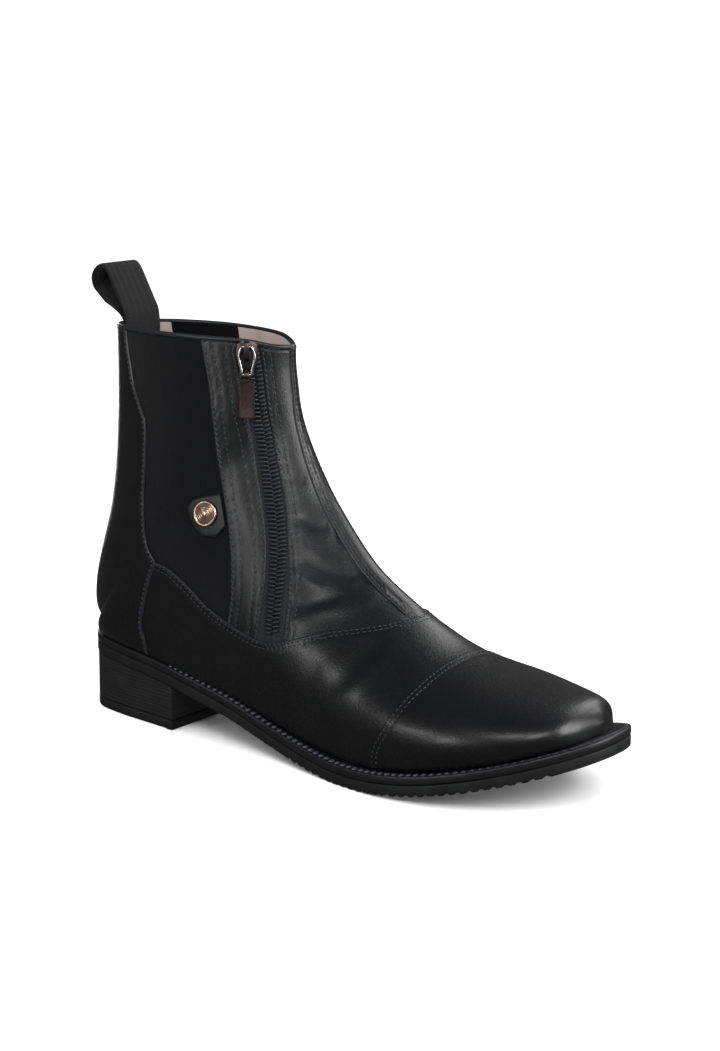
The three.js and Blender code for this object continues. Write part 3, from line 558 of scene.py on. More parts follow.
def crease_relief(strokes):
    """Height of soft troughs and ridges: each stroke is (side, side-view points in mm, half width, height)."""
    def relief(points):
        height = np.zeros(len(points))
        for side, line, half_width, rise in strokes:
            line = np.array(line, float)
            best = np.full(len(points), 1e9)
            for a, b in zip(line[:-1], line[1:]):
                t = np.clip(((points[:, [0, 2]] - a) @ (b - a)) / np.dot(b - a, b - a), 0, 1)
                best = np.minimum(best, np.linalg.norm(points[:, [0, 2]] - a - t[:, None] * (b - a), axis=1))
            height += np.where(points[:, 1] * side >= 0, rise * np.exp(-(best / half_width) ** 2), 0)
        return height
    return relief


OUTER = -1
INNER = 1
vamp_creases = crease_relief([
    (OUTER, [(118, 34), (131, 44), (139, 56)], 5.0, -0.45),
    (OUTER, [(126, 30), (139, 40), (147, 52)], 4.0, 0.35),
    (OUTER, [(104, 24), (112, 33), (116, 45)], 5.0, -0.3),
    (INNER, [(118, 30), (131, 42), (139, 56)], 5.0, -0.45),
    (INNER, [(126, 26), (139, 38), (147, 52)], 4.0, 0.35),
])
vamp = panel(
    "vamp", (0.9, 12.5), 0.0,
    rolled=[(line_distance(vamp_top, RIGHT), raw_edge), (line_distance(counter_seam, LEFT), raw_edge)],
    hidden=[(line_distance(cap_seam, LEFT), 4)],
    rows=[(0, 1.3), (0, 3.1)],
    relief=vamp_creases,
)


def srgb(hex_code):
    """Linear colour of an sRGB hex value."""
    parts = [int(hex_code[i:i + 2], 16) / 255 for i in (0, 2, 4)]
    return (*[p / 12.92 if p <= 0.04045 else ((p + 0.055) / 1.055) ** 2.4 for p in parts], 1.0)


def add_node(tree, kind, links=None, **settings):
    """A node with its settings; links holds values or sockets for its inputs, by name or number."""
    made = tree.nodes.new(kind)
    for key, value in settings.items():
        setattr(made, key, value)
    for key, value in (links or {}).items():
        if isinstance(value, bpy.types.NodeSocket):
            tree.links.new(value, made.inputs[key])
        else:
            made.inputs[key].default_value = value
    return made


def new_material(name):
    """An empty material with its shader and output, and the tree they are in."""
    material = bpy.data.materials.new(name)
    material.use_nodes = True
    tree = material.node_tree
    return material, tree, tree.nodes["Principled BSDF"]


def per_mm(size):
    """Texture scale for a pattern of that size in millimetres, on Object coordinates in metres."""
    return 1000.0 / size


def bands_mm(size):
    """The same for a wave texture, whose bands are a twentieth of a turn apart at a scale of one."""
    return 2 * math.pi * per_mm(size) / 20


def smooth_calf(name, dark, light, roughness, grain_mm, grain_strength):
    """Box calf, aniline dyed and plated: near black with a soft shine and fine pores, and a painted highlight that
    lightens the colour near each panel's edge.
    """
    material, tree, shader = new_material(name)
    place = add_node(tree, "ShaderNodeTexCoord").outputs["Object"]
    cloud = add_node(tree, "ShaderNodeTexNoise", {"Vector": place, "Scale": per_mm(18), "Detail": 3.0})
    pores = add_node(tree, "ShaderNodeTexVoronoi", {"Vector": place, "Scale": per_mm(grain_mm)}, feature="SMOOTH_F1")
    lines = add_node(tree, "ShaderNodeTexNoise", {"Vector": place, "Scale": per_mm(3.2), "Detail": 5.0, "Roughness": 0.65})
    edge = add_node(tree, "ShaderNodeAttribute", attribute_name="edge").outputs["Fac"]
    # Painted highlight: within 0.7 mm of a panel's edge the colour is mixed towards a lighter grey (17181b)
    edge_highlight_mask = add_node(tree, "ShaderNodeMapRange", {"Value": edge, "From Min": 0.0, "From Max": 0.7, "To Min": 1.0, "To Max": 0.0})
    base = add_node(tree, "ShaderNodeMix", {0: cloud.outputs["Fac"], 6: srgb(dark), 7: srgb(light)}, data_type="RGBA")
    edge_highlighted = add_node(tree, "ShaderNodeMix", {0: edge_highlight_mask.outputs[0], 6: base.outputs[2], 7: srgb("17181b")}, data_type="RGBA")
    tree.links.new(edge_highlighted.outputs[2], shader.inputs["Base Color"])
    shine = add_node(tree, "ShaderNodeMapRange", {"Value": lines.outputs["Fac"], "To Min": roughness - 0.06, "To Max": roughness + 0.08})
    tree.links.new(shine.outputs[0], shader.inputs["Roughness"])
    height = add_node(tree, "ShaderNodeMath", {0: pores.outputs["Distance"], 1: lines.outputs["Fac"]}, operation="ADD")
    bump = add_node(tree, "ShaderNodeBump", {"Height": height.outputs[0], "Strength": grain_strength, "Distance": 0.0002})
    tree.links.new(bump.outputs["Normal"], shader.inputs["Normal"])
    shader.inputs["Specular IOR Level"].default_value = 0.4
    shader.inputs["Coat Weight"].default_value = 0.15
    shader.inputs["Coat Roughness"].default_value = 0.25
    return material


def finish_piece(piece, material):
    piece.data.materials.append(material)


black_calf = smooth_calf("black_box_calf", "040405", "08090b", 0.36, 0.9, 0.35)
fine_calf = smooth_calf("milled_calf", "040506", "0a0b0d", 0.38, 0.5, 0.6)
thread_black, thread_tree, thread_shader = new_material("black_bonded_nylon_thread")
thread_shader.inputs["Base Color"].default_value = srgb("1c1d21")
thread_shader.inputs["Roughness"].default_value = 0.45
vamp_pieces = [vamp["piece"]]
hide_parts("upper")
finish_piece(vamp["piece"], black_calf)
vamp_lines = [line for distance in (1.3, 3.1) for line in contour(vamp, np.where(vamp["reach"][1] > 0.5, vamp["reach"][0], -9), distance)]
vamp_stitches = stitches("vamp_stitches", vamp_lines)
finish_piece(vamp_stitches, thread_black)

# Toe cap: a second layer of the same calf over the toe, with a straight back edge and two rows of stitches.
cap = panel(
    "toe_cap", (0, 6.5), -0.4,
    rolled=[(line_distance(cap_seam, RIGHT), raw_edge)],
    rows=[(0, 1.3), (0, 3.6)],
)
finish_piece(cap["piece"], black_calf)
cap_lines = [line for distance in (1.3, 3.6) for line in contour(cap, cap["reach"][0], distance)]
finish_piece(stitches("toe_cap_stitches", cap_lines), thread_black)

# Rear piece: the counter and back of the shaft in one piece of calf, cut away round both elastics.
rear_edge = side_line([
    [0.098, 1.100], [0.098, 0.986], [0.112, 0.915], [0.125, 0.860], [0.147, 0.809], [0.161, 0.770], [0.166, 0.680],
    [0.168, 0.580], [0.178, 0.478], [0.199, 0.430],
])
collar_line = side_line([
    [-0.20, 1.003], [0.03, 1.003], [0.12, 1.004], [0.23, 1.004], [0.33, 0.998], [0.40, 0.975], [0.60, 0.96],
])
collar = line_distance(collar_line, RIGHT)


def folded(depth):
    """A folded edge that rolls in by a depth."""
    return [(0.0, -depth), (0.12, -0.62 * depth), (0.5, -0.18 * depth), (1.3, 0.0)]


rear_outline = np.vstack([rear_edge, counter_seam[1:]])
rear = panel(
    "rear_piece", (7.4, 16), 0.0,
    rolled=[(line_distance(rear_outline, RIGHT), raw_edge), (collar, folded(1.8))],
    rows=[(0, 1.4), (1, 2.2)],
)
finish_piece(rear["piece"], black_calf)
rear_lines = contour(rear, np.where(rear["reach"][1] > 1.2, rear["reach"][0], -9), 1.4)
rear_lines += contour(rear, np.where(rear["reach"][0] > 1.2, rear["reach"][1], -9), 2.2)
finish_piece(stitches("rear_piece_stitches", rear_lines), thread_black)

# Counter cord: a rolled strip of calf laid over the join of vamp and rear piece.
def tube(name, path, radius, sides=10, closed=False, body="boot"):
    """A round rod along points in millimetres, with rounded ends if it is open."""
    path = np.asarray(path, float)
    run = np.roll(path, -1, 0) - np.roll(path, 1, 0) if closed else np.gradient(path, axis=0)
    run /= np.linalg.norm(run, axis=1)[:, None]
    side = np.cross(run[0], (0.123, 0.456, 0.881))
    sizes = np.full(len(path), float(radius))
    if not closed:
        sizes[[0, -1]] *= 0.45
    angle = np.arange(sides)[:, None] * 2 * math.pi / sides
    rings = []
    for p, r, size in zip(path, run, sizes):
        side = side - r * np.dot(side, r)
        side /= np.linalg.norm(side)
        rings.append(p + size * (np.cos(angle) * side + np.sin(angle) * np.cross(r, side)))
    return mesh_piece(name, *skin(rings, closed), body)


for number, line in enumerate(contour(vamp, vamp["reach"][1], 0.35)):
    if len(line) > 20:
        line = evened(line, 0.8)
        path = line[:, :3] + line[:, 3:] * 0.1
        finish_piece(tube(f"counter_cord_{number + 1}", path, 0.85), black_calf)

# Front panel, zip facing and front strip: calf of a lighter weight. The zip lies in the slot between the first two,
# and the strip runs down the ridge from the collar and goes in under the vamp.
gore_front = side_line([
    [0.353, 0.314], [0.356, 0.369], [0.350, 0.441], [0.336, 0.530], [0.318, 0.617], [0.305, 0.689],
    [0.295, 0.787], [0.284, 0.884], [0.266, 1.003], [0.262, 1.100],
])
medial_gore_front = side_line([
    [0.305, 0.345], [0.290, 0.520], [0.262, 0.700], [0.240, 0.860], [0.226, 1.003], [0.224, 1.100],
])
zip_rear = side_line([
    [0.315, 1.100], [0.323, 0.991], [0.335, 0.887], [0.348, 0.789], [0.363, 0.693], [0.381, 0.611],
    [0.402, 0.520], [0.416, 0.429], [0.420, 0.335], [0.419, 0.286],
])
zip_front = side_line([
    [0.347, 1.100], [0.353, 0.990], [0.362, 0.886], [0.372, 0.789], [0.390, 0.693], [0.411, 0.612],
    [0.433, 0.522], [0.454, 0.434], [0.466, 0.345], [0.469, 0.299],
])
zip_centre = side_line([
    [0.341, 0.984], [0.351, 0.887], [0.362, 0.789], [0.378, 0.694], [0.396, 0.612], [0.418, 0.522],
    [0.434, 0.432], [0.443, 0.341], [0.445, 0.298],
])
over_vamp = line_distance(vamp_top, LEFT)


def outer_half(points, normals):
    return -points[:, 1]


def inner_half(points, normals):
    return points[:, 1]


front_creases = crease_relief([
    (OUTER, [(96, 88), (103, 84), (113, 80)], 2.2, -0.5),
    (OUTER, [(94, 82), (100, 79), (106, 77)], 1.6, 0.4),
    (OUTER, [(88, 104), (94, 101), (100, 100)], 2.0, -0.4),
    (OUTER, [(94, 70), (100, 70), (112, 73)], 2.6, -0.55),
    (OUTER, [(100, 62), (112, 68), (124, 71)], 3.2, 0.6),
    (OUTER, [(82, 120), (87, 119), (93, 118)], 1.6, -0.3),
    (OUTER, [(104, 96), (112, 88), (118, 79)], 3.0, -0.35),
    (INNER, [(70, 84), (90, 78), (110, 78)], 4.0, -0.6),
    (INNER, [(66, 100), (84, 96), (100, 96)], 4.0, -0.5),
])
front = panel(
    "front_panel", (5.3, 16), overlay,
    rolled=[
        (outer_only(line_distance(zip_front, LEFT)), raw_edge),
        (inner_only(line_distance(medial_gore_front, RIGHT)), raw_edge),
        (collar, folded(1.0)),
    ],
    hidden=[(over_vamp, 5)],
    rows=[(0, 1.5), (0, 5.0), (1, 1.8), (1, 5.0), (2, 2.2)],
    relief=front_creases,
)
finish_piece(front["piece"], fine_calf)
below_collar = front["reach"][2] > 1.2
front_lines = []
for index, distance in ((0, 1.5), (0, 5.0), (1, 1.8), (1, 5.0)):
    front_lines += contour(front, np.where(below_collar, front["reach"][index], -9), distance)
clear_of_edges = (front["reach"][0] > 1.2) & (front["reach"][1] > 1.2)
front_lines += contour(front, np.where(clear_of_edges, front["reach"][2], -9), 2.2)
finish_piece(stitches("front_panel_stitches", front_lines), thread_black)

facing = panel(
    "zip_facing", (6.4, 16), overlay,
    rolled=[
        (line_distance(gore_front, RIGHT), raw_edge),
        (line_distance(zip_rear, RIGHT), raw_edge),
        (collar, folded(1.0)),
    ],
    hidden=[(outer_half, 0), (over_vamp, 5)],
    rows=[(0, 1.8), (0, 5.5), (1, 1.8), (1, 5.5), (2, 2.2)],
)
finish_piece(facing["piece"], fine_calf)
facing_lines = []
for index, distance in ((0, 1.8), (0, 5.5), (1, 1.8), (1, 5.5)):
    inside = (facing["reach"][2] > 1.2) & (facing["reach"][1 - index] > 1.2)
    facing_lines += contour(facing, np.where(inside, facing["reach"][index], -9), distance)
inside = (facing["reach"][0] > 1.2) & (facing["reach"][1] > 1.2)
facing_lines += contour(facing, np.where(inside, facing["reach"][2], -9), 2.2)
finish_piece(stitches("zip_facing_stitches", facing_lines), thread_black)

ridge_at = np.linspace(6.02, 14.98, 60)
ridge_up = section_ends(ridge_at)[1][:, 1]
ridge_share = (ridge_at - 6.02) / 8.96


def strip_near(points, normals):
    t = np.interp(points[:, 2], ridge_up, ridge_share)
    return points[:, 1] - (0.5 + 3.5 * np.minimum(1, t * 1.4))


def strip_far(points, normals):
    t = np.interp(points[:, 2], ridge_up, ridge_share)
    return 14.0 + 3.5 * np.minimum(1, t * 1.4) - 3 * t - points[:, 1]


def strip_dip(points):
    """The strip thins where it goes in under the vamp."""
    return -0.7 * np.clip((points[:, 0] - 138) / 4, 0, 1)


strip = panel(
    "front_strip", (5.5, 16), 0.0,
    rolled=[(strip_near, raw_edge), (strip_far, raw_edge), (collar, folded(1.8))],
    hidden=[(over_vamp, 3)],
    rows=[(0, 1.5), (0, 3.6), (1, 1.5)],
    relief=strip_dip,
)
finish_piece(strip["piece"], black_calf)
strip_lines = []
for index, distance in ((0, 1.5), (0, 3.6), (1, 1.5)):
    strip_lines += contour(strip, np.where(strip["reach"][2] > 1.2, strip["reach"][index], -9), distance)
finish_piece(stitches("front_strip_stitches", strip_lines), thread_black)

# Elastic gussets: woven elastic webbing with fine upright ribs, sewn in under the leather on both sides.
def woven_elastic():
    """Covered rubber threads, woven close: matte, blue-black, ribbed upright about every 0.8 mm."""
    material, tree, shader = new_material("woven_elastic_webbing")
    place = add_node(tree, "ShaderNodeTexCoord").outputs["Object"]
    ribs = add_node(tree, "ShaderNodeTexWave", {"Vector": place, "Scale": bands_mm(1.0), "Distortion": 0.3, "Detail": 1.0},
                    bands_direction="X")
    fuzz = add_node(tree, "ShaderNodeTexNoise", {"Vector": place, "Scale": per_mm(0.5), "Detail": 4.0, "Roughness": 0.7})
    tone = add_node(tree, "ShaderNodeMix", {0: fuzz.outputs["Fac"], 6: srgb("020203"), 7: srgb("08090c")}, data_type="RGBA")
    tree.links.new(tone.outputs[2], shader.inputs["Base Color"])
    height = add_node(tree, "ShaderNodeMath", {0: ribs.outputs["Fac"], 1: fuzz.outputs["Fac"]}, operation="ADD")
    bump = add_node(tree, "ShaderNodeBump", {"Height": height.outputs[0], "Strength": 0.3, "Distance": 0.0002})
    tree.links.new(bump.outputs["Normal"], shader.inputs["Normal"])
    shader.inputs["Roughness"].default_value = 0.9
    shader.inputs["Specular IOR Level"].default_value = 0.12
    shader.inputs["Sheen Weight"].default_value = 0.04
    shader.inputs["Sheen Roughness"].default_value = 0.5
    return material


elastic_cloth = woven_elastic()
gore_level = overlay + 0.4
gussets = (
    ("elastic_outer", gore_front, outer_half, (0.079, 0.131), 0.0060),
    ("elastic_inner", medial_gore_front, inner_half, (0.065, 0.126), 0.0043),
)
for name, front_line, half, flat_size, flat_area in gussets:
    made = panel(
        name, (7.0, 16), gore_level,
        rolled=[(collar, folded(0.6))],
        hidden=[(half, 0), (line_distance(rear_edge, LEFT), 3), (over_vamp, 3), (line_distance(front_line, LEFT), 3)],
    )
    finish_piece(made["piece"], elastic_cloth)
    node_name = "gore_lateral" if half is outer_half else "gore_medial"
    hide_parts(node_name)
    back = panel(
        name + "_inner_face", (7.0, 16), overlay + leather_wall + 0.15,
        rolled=[(collar, [(0.9, 0.0), (1.5, 0.0)])],
        hidden=[(half, 0), (line_distance(rear_edge, LEFT), 0), (over_vamp, 0), (line_distance(front_line, LEFT), 0)],
        inside=True,
    )
    finish_piece(back["piece"], elastic_cloth)

# Zip: a woven tape in the slot, and two nylon coils on it that lock along the middle.
tape = panel(
    "zip_tape_cloth", (6.8, 16), overlay + 0.5,
    rolled=[(collar, folded(0.5))],
    hidden=[
        (outer_half, 0), (line_distance(zip_rear, LEFT), 2), (line_distance(zip_front, RIGHT), 2), (over_vamp, 3),
    ],
)
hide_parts("zip_tape")


def tape_weave():
    """Polyester zip tape: a fine black twill, matte."""
    material, tree, shader = new_material("polyester_twill_tape")
    place = add_node(tree, "ShaderNodeTexCoord").outputs["Object"]
    twill = add_node(tree, "ShaderNodeTexWave", {"Vector": place, "Scale": bands_mm(1.0), "Distortion": 0.6},
                     bands_direction="DIAGONAL")
    bump = add_node(tree, "ShaderNodeBump", {"Height": twill.outputs["Fac"], "Strength": 0.5, "Distance": 0.0002})
    tree.links.new(bump.outputs["Normal"], shader.inputs["Normal"])
    tone = add_node(tree, "ShaderNodeMix", {0: twill.outputs["Fac"], 6: srgb("08090a"), 7: srgb("15161a")}, data_type="RGBA")
    tree.links.new(tone.outputs[2], shader.inputs["Base Color"])
    shader.inputs["Roughness"].default_value = 0.8
    return material


finish_piece(tape["piece"], tape_weave())
centre_distance = line_distance(zip_centre, LEFT)(tape["points"], tape["normals"])
coil_line = max(contour(tape, centre_distance, 0.0), key=len)
coil_line = evened(coil_line if coil_line[0, 2] > coil_line[-1, 2] else coil_line[::-1], 0.1)
coil_line = coil_line[(coil_line[:, 2] < 0.985 * boot_height) & (coil_line[:, 2] > 0.29 * boot_height)]
coil_pitch = 1.9
coil_half = 4.1
to_rear_edge = line_distance(zip_rear, LEFT)
to_front_edge = line_distance(zip_front, RIGHT)
turns = []
for n in range(int(len(coil_line) * 0.1 / (coil_pitch / 2)) - 2):
    row = coil_line[int(n * coil_pitch / 2 / 0.1)]
    ahead = coil_line[min(int(n * coil_pitch / 2 / 0.1) + 8, len(coil_line) - 1)]
    run = ahead[:3] - row[:3]
    run /= np.linalg.norm(run)
    out = row[3:] / np.linalg.norm(row[3:])
    aside = np.cross(out, run) * (1 if n % 2 else -1)
    edge_field = to_front_edge if aside[0] > 0 else to_rear_edge
    room = edge_field(row[None, :3], out[None])[0]
    base = row[:3] + out * 0.85
    end = min(coil_half, room - 0.3)
    turns.append((base - aside * 0.4 + run * 0.3, base + aside * end - run * 0.45, out))
coil = short_rods("zip_coil", turns, (0.68, 0.72), 0.0)
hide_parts("zip_teeth")


def moulded_nylon():
    """Nylon monofilament: black with a dull waxy shine."""
    material, tree, shader = new_material("nylon_monofilament")
    place = add_node(tree, "ShaderNodeTexCoord").outputs["Object"]
    grime = add_node(tree, "ShaderNodeTexNoise", {"Vector": place, "Scale": per_mm(4), "Detail": 3.0})
    shine = add_node(tree, "ShaderNodeMapRange", {"Value": grime.outputs["Fac"], "To Min": 0.32, "To Max": 0.5})
    tree.links.new(shine.outputs[0], shader.inputs["Roughness"])
    shader.inputs["Base Color"].default_value = srgb("14151a")
    return material


finish_piece(coil, moulded_nylon())


def outer_place(share_along, share_up, inset):
    """A place on the outer side found from the side view, with the direction that faces out there."""
    target = np.array([along(share_along), share_up * boot_height])
    middle = np.array([11.0, -0.3])
    half = np.array([4.0, 0.29])
    for _ in range(14):
        s, u = np.meshgrid(np.linspace(-1, 1, 21), np.linspace(-1, 1, 21))
        s = np.clip(middle[0] + half[0] * s.ravel(), 6, 14.99)
        u = np.clip(middle[1] + half[1] * u.ravel(), -0.6, -0.01)
        best = np.argmin(np.linalg.norm(last_surface(s, u, inset)[:, [0, 2]] - target, axis=1))
        middle = np.array([s[best], u[best]])
        half = half * 0.4
    s, u = middle[:1], middle[1:]
    out = last_normals(s, u, inset)[0]
    return last_surface(s, u, inset)[0], out * (-1 if out[1] > 0 else 1)


def frame_at(place, out, up):
    """Matrix with z out of the leather, y up along it and x across, in millimetres."""
    x_axis = np.cross(up, out)
    x_axis /= np.linalg.norm(x_axis)
    y_axis = np.cross(out, x_axis)
    return Matrix([[*row] for row in np.vstack([np.stack([x_axis, y_axis, out, place], 1), [0, 0, 0, 1]])])


# Slider: a cast gunmetal body over the coil, with a bridge that holds the wire.
coil_rise = 0.1
slider_point, slider_out = outer_place(0.3420, 0.9600, -coil_rise - gap)
slider_frame = frame_at(slider_point, slider_out, np.array([0, 0, 1.0]))


def block(outline, low, high, bevel, recess=None):
    """A plate from an outline, between two heights, with rounded edges and a sunk panel if asked for."""
    bm = bmesh.new()
    base = bm.faces.new([bm.verts.new((x, y, low)) for x, y in outline])
    grown = bmesh.ops.extrude_face_region(bm, geom=[base])["geom"]
    lid = [v for v in grown if isinstance(v, bmesh.types.BMVert)]
    bmesh.ops.translate(bm, vec=(0, 0, high - low), verts=lid)
    bmesh.ops.recalc_face_normals(bm, faces=bm.faces)
    if recess:
        top = [f for f in bm.faces if f.normal.z > 0.9]
        bmesh.ops.inset_region(bm, faces=top, thickness=recess[0], use_even_offset=True)
        bmesh.ops.translate(bm, vec=(0, 0, -recess[1]), verts=list({v for f in top for v in f.verts}))
    sharp = [e for e in bm.edges if e.calc_face_angle(0) > 0.6]
    bmesh.ops.bevel(bm, geom=sharp, offset=bevel, offset_type="OFFSET", segments=2, profile=0.5, affect="EDGES", material=-1,
                    clamp_overlap=True)
    return bm


def metal_piece(name, parts, frame, body):
    """One piece from several bmesh parts in a frame's millimetres, with crisp flats and smooth edges."""
    joined = bmesh.new()
    for bm, turn in parts:
        bmesh.ops.transform(bm, matrix=frame @ turn, verts=bm.verts)
        part = bpy.data.meshes.new("part")
        bmesh.ops.scale(bm, vec=(0.001, 0.001, 0.001), verts=bm.verts)
        bmesh.ops.recalc_face_normals(bm, faces=bm.faces)
        bm.to_mesh(part)
        bm.free()
        joined.from_mesh(part)
        bpy.data.meshes.remove(part)
    mesh = bpy.data.meshes.new(name)
    joined.to_mesh(mesh)
    joined.free()
    mesh.shade_smooth()
    mesh.set_sharp_from_angle(angle=math.radians(40))
    piece = bpy.data.objects.new(name, mesh)
    bpy.context.scene.collection.objects.link(piece)
    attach(piece, body)
    return piece


straight = Matrix.Identity(4)
from_the_side = Matrix(((0, 0, 1, 0), (1, 0, 0, 0), (0, 1, 0, 0), (0, 0, 0, 1)))
slider_half = 4.8
slider_thickness = 2.2
window_half = 1.15
window_top = 5.0
hole_out = slider_thickness + window_half + 0.25
slider_outline = [
    (-slider_half * 0.55, 6.5), (slider_half * 0.55, 6.5), (slider_half * 0.95, 4.8), (slider_half, 1),
    (slider_half * 0.8, -4.4), (slider_half * 0.6, -6.5), (-slider_half * 0.6, -6.5), (-slider_half * 0.8, -4.4),
    (-slider_half, 1), (-slider_half * 0.95, 4.8),
]
window_low = window_top - 2 * window_half
arch = [
    (5.05, slider_thickness - 0.4), (6.35, slider_thickness - 0.4), (6.5, slider_thickness + 1),
    (5.8, hole_out + window_half + 0.7), (3.0, hole_out + window_half + 1.1), (-0.8, hole_out + window_half + 0.5),
    (-2.4, slider_thickness + 1), (-2.8, slider_thickness - 0.4), (window_low, slider_thickness - 0.4),
    (window_low, hole_out + window_half - 0.2), (window_top, hole_out + window_half - 0.2),
]
slider = metal_piece("zip_slider_body", [
    (block(slider_outline, 0, slider_thickness, 0.5), straight),
    (block(arch, -1.1, 1.1, 0.22), from_the_side),
], slider_frame, "boot")
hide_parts("zip_slider")


def cast_metal(name, colour, roughness, wear_colour):
    """Plated zinc casting: a thin plating with faint rub marks spread at random."""
    material, tree, shader = new_material(name)
    place = add_node(tree, "ShaderNodeTexCoord").outputs["Object"]
    rub = add_node(tree, "ShaderNodeTexNoise", {"Vector": place, "Scale": per_mm(2.5), "Detail": 4.0, "Roughness": 0.6})
    tone = add_node(tree, "ShaderNodeMix", {0: rub.outputs["Fac"], 6: srgb(colour), 7: srgb(wear_colour)}, data_type="RGBA")
    tree.links.new(tone.outputs[2], shader.inputs["Base Color"])
    shine = add_node(tree, "ShaderNodeMapRange", {"Value": rub.outputs["Fac"], "To Min": roughness - 0.08, "To Max": roughness + 0.1})
    tree.links.new(shine.outputs[0], shader.inputs["Roughness"])
    shader.inputs["Metallic"].default_value = 1.0
    return material


gunmetal = cast_metal("gunmetal_plated_zinc", "4a403d", 0.38, "6d605b")
finish_piece(slider, gunmetal)

# Wire link: a drop of nickel-plated wire that swings in the bridge.
wire_drop = 12.5
wire_outline = np.array([
    (-1.5, 0), (1.5, 0), (2.35, 0.04), (3.0, 0.16), (3.5, 0.36), (3.1, 0.58), (2.5, 0.78), (2.2, 0.94), (1.5, 1),
    (-1.5, 1), (-2.2, 0.94), (-2.5, 0.78), (-3.1, 0.58), (-3.5, 0.36), (-3.0, 0.16), (-2.35, 0.04),
])
wire_radius = 0.75
wire_place = slider_frame @ Vector((0, window_top - window_half, hole_out - 0.1))
wire_frame = slider_frame.copy()
wire_frame.translation = wire_place


def placed(frame, points):
    """Millimetre points of a frame in the row frame."""
    table = np.array(frame)
    return np.asarray(points) @ table[:3, :3].T + table[:3, 3]


def rounded_loop(points, steps):
    """A smooth closed line through points."""
    a, b, c, d = (np.roll(points, k, 0)[:, None] for k in (1, 0, -1, -2))
    t = np.linspace(0, 1, steps, endpoint=False)[None, :, None]
    curve = 0.5 * (2 * b + (c - a) * t + (2 * a - 5 * b + 4 * c - d) * t**2 + (3 * b - a - 3 * c + d) * t**3)
    return curve.reshape(-1, points.shape[1])


wire_line = rounded_loop(wire_outline * (1, -wire_drop), 5)
wire_line = np.hstack([wire_line, np.zeros((len(wire_line), 1))])
link = tube("zip_wire_link", placed(wire_frame, wire_line), wire_radius - 0.03, 12, True, "wire")
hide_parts("zip_link")
finish_piece(link, cast_metal("nickel_plated_wire", "a8a4a1", 0.24, "c9c5c1"))

# Pull plate: a cast plate with a plain sunk panel, and an eye round the lower bend of the wire.
eye_outer = 2.0
eye_inner = wire_radius + gap
eye_half = 1.15
plate_half = 3.5
plate_length = 17
plate_thickness = 1.2
tab_frame = wire_frame @ Matrix.Translation((0, -wire_drop, 0))


def turned(profile, steps, closed):
    """A turned part round its z axis from a profile of radius and height."""
    bm = bmesh.new()
    verts = [bm.verts.new((r, 0, h)) for r, h in profile]
    pairs = list(zip(verts, verts[1:])) + ([(verts[-1], verts[0])] if closed else [])
    made = [bm.edges.new(pair) for pair in pairs]
    bmesh.ops.spin(bm, geom=verts + made, cent=(0, 0, 0), axis=(0, 0, 1), dvec=(0, 0, 0), angle=2 * math.pi, steps=steps,
                   use_merge=True, use_duplicate=False)
    bmesh.ops.remove_doubles(bm, verts=bm.verts, dist=0.001)
    return bm


plate_outline = [
    (-plate_half, -2.8), (-plate_half + 0.6, -2.3), (plate_half - 0.6, -2.3), (plate_half, -2.8),
    (plate_half, -2.3 - plate_length + 0.6), (plate_half - 0.6, -2.3 - plate_length),
    (-plate_half + 0.6, -2.3 - plate_length), (-plate_half, -2.3 - plate_length + 0.6),
]
neck_outline = [(-eye_half, -1.5), (eye_half, -1.5), (eye_half, -2.9), (-eye_half, -2.9)]
eye_ring = [
    (eye_inner + 0.15, -eye_half), (eye_outer - 0.25, -eye_half), (eye_outer, -eye_half + 0.3), (eye_outer, eye_half - 0.3),
    (eye_outer - 0.25, eye_half), (eye_inner + 0.15, eye_half), (eye_inner, eye_half - 0.2), (eye_inner, -eye_half + 0.2),
]
tab = metal_piece("zip_pull_plate", [
    (block(plate_outline, -plate_thickness / 2, plate_thickness / 2, 0.18, (0.9, 0.22)), straight),
    (block(neck_outline, -plate_thickness / 2, plate_thickness / 2, 0.15), straight),
    (turned(eye_ring, 28, True), from_the_side),
], tab_frame, "pull")
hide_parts("zip_tab")
finish_piece(tab, gunmetal)

# Snap tab: a tongue of calf that holds the zip facing to the elastic, with a pressed brass cap on the stud.
tab_level = gore_level - gap - 1.4
snap_tab_edge = side_line([
    [0.352, 0.635], [0.328, 0.631], [0.315, 0.622], [0.297, 0.615], [0.278, 0.606], [0.265, 0.594],
    [0.260, 0.575], [0.267, 0.552], [0.279, 0.528], [0.292, 0.515], [0.313, 0.515], [0.328, 0.521],
    [0.338, 0.527], [0.352, 0.525],
])
thick_edge = [(0.0, -1.5), (0.1, -0.95), (0.35, -0.35), (0.9, 0.0)]
tongue = panel(
    "snap_tongue", (9.5, 14), tab_level,
    rolled=[(line_distance(snap_tab_edge, LEFT), thick_edge)],
    hidden=[(outer_half, 0), (line_distance(gore_front, LEFT), -0.3)],
)
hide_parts("snap_tab")
finish_piece(tongue["piece"], smooth_calf("matte_calf", "08090b", "101216", 0.55, 0.9, 0.35))
snap_radius = 5.8
snap_point, snap_out = outer_place(0.297, 0.570, tab_level - gap - 0.25)
snap_frame = frame_at(snap_point, snap_out, np.array([0, 0, 1.0]))
snap_profile = [
    (0, 0), (snap_radius - 0.35, 0), (snap_radius - 0.08, 0.12), (snap_radius, 0.35), (snap_radius, 0.75),
    (snap_radius - 0.2, 1.02), (snap_radius - 0.6, 1.12), (snap_radius - 1.0, 1.0), (snap_radius - 1.25, 0.82),
    (snap_radius - 1.6, 0.98), (3.75, 1.16), (3.5, 1.05), (3.25, 1.2), (2.75, 1.32), (2.5, 1.18), (2.25, 1.36),
    (1.75, 1.46), (1.5, 1.32), (1.2, 1.5), (0.6, 1.6), (0, 1.62),
]
snap = metal_piece("snap_cap", [(turned(snap_profile, 64, False), straight)], snap_frame, "boot")
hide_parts("snap_button")
finish_piece(snap, cast_metal("antique_rose_brass", "b3917b", 0.3, "d8bfae"))

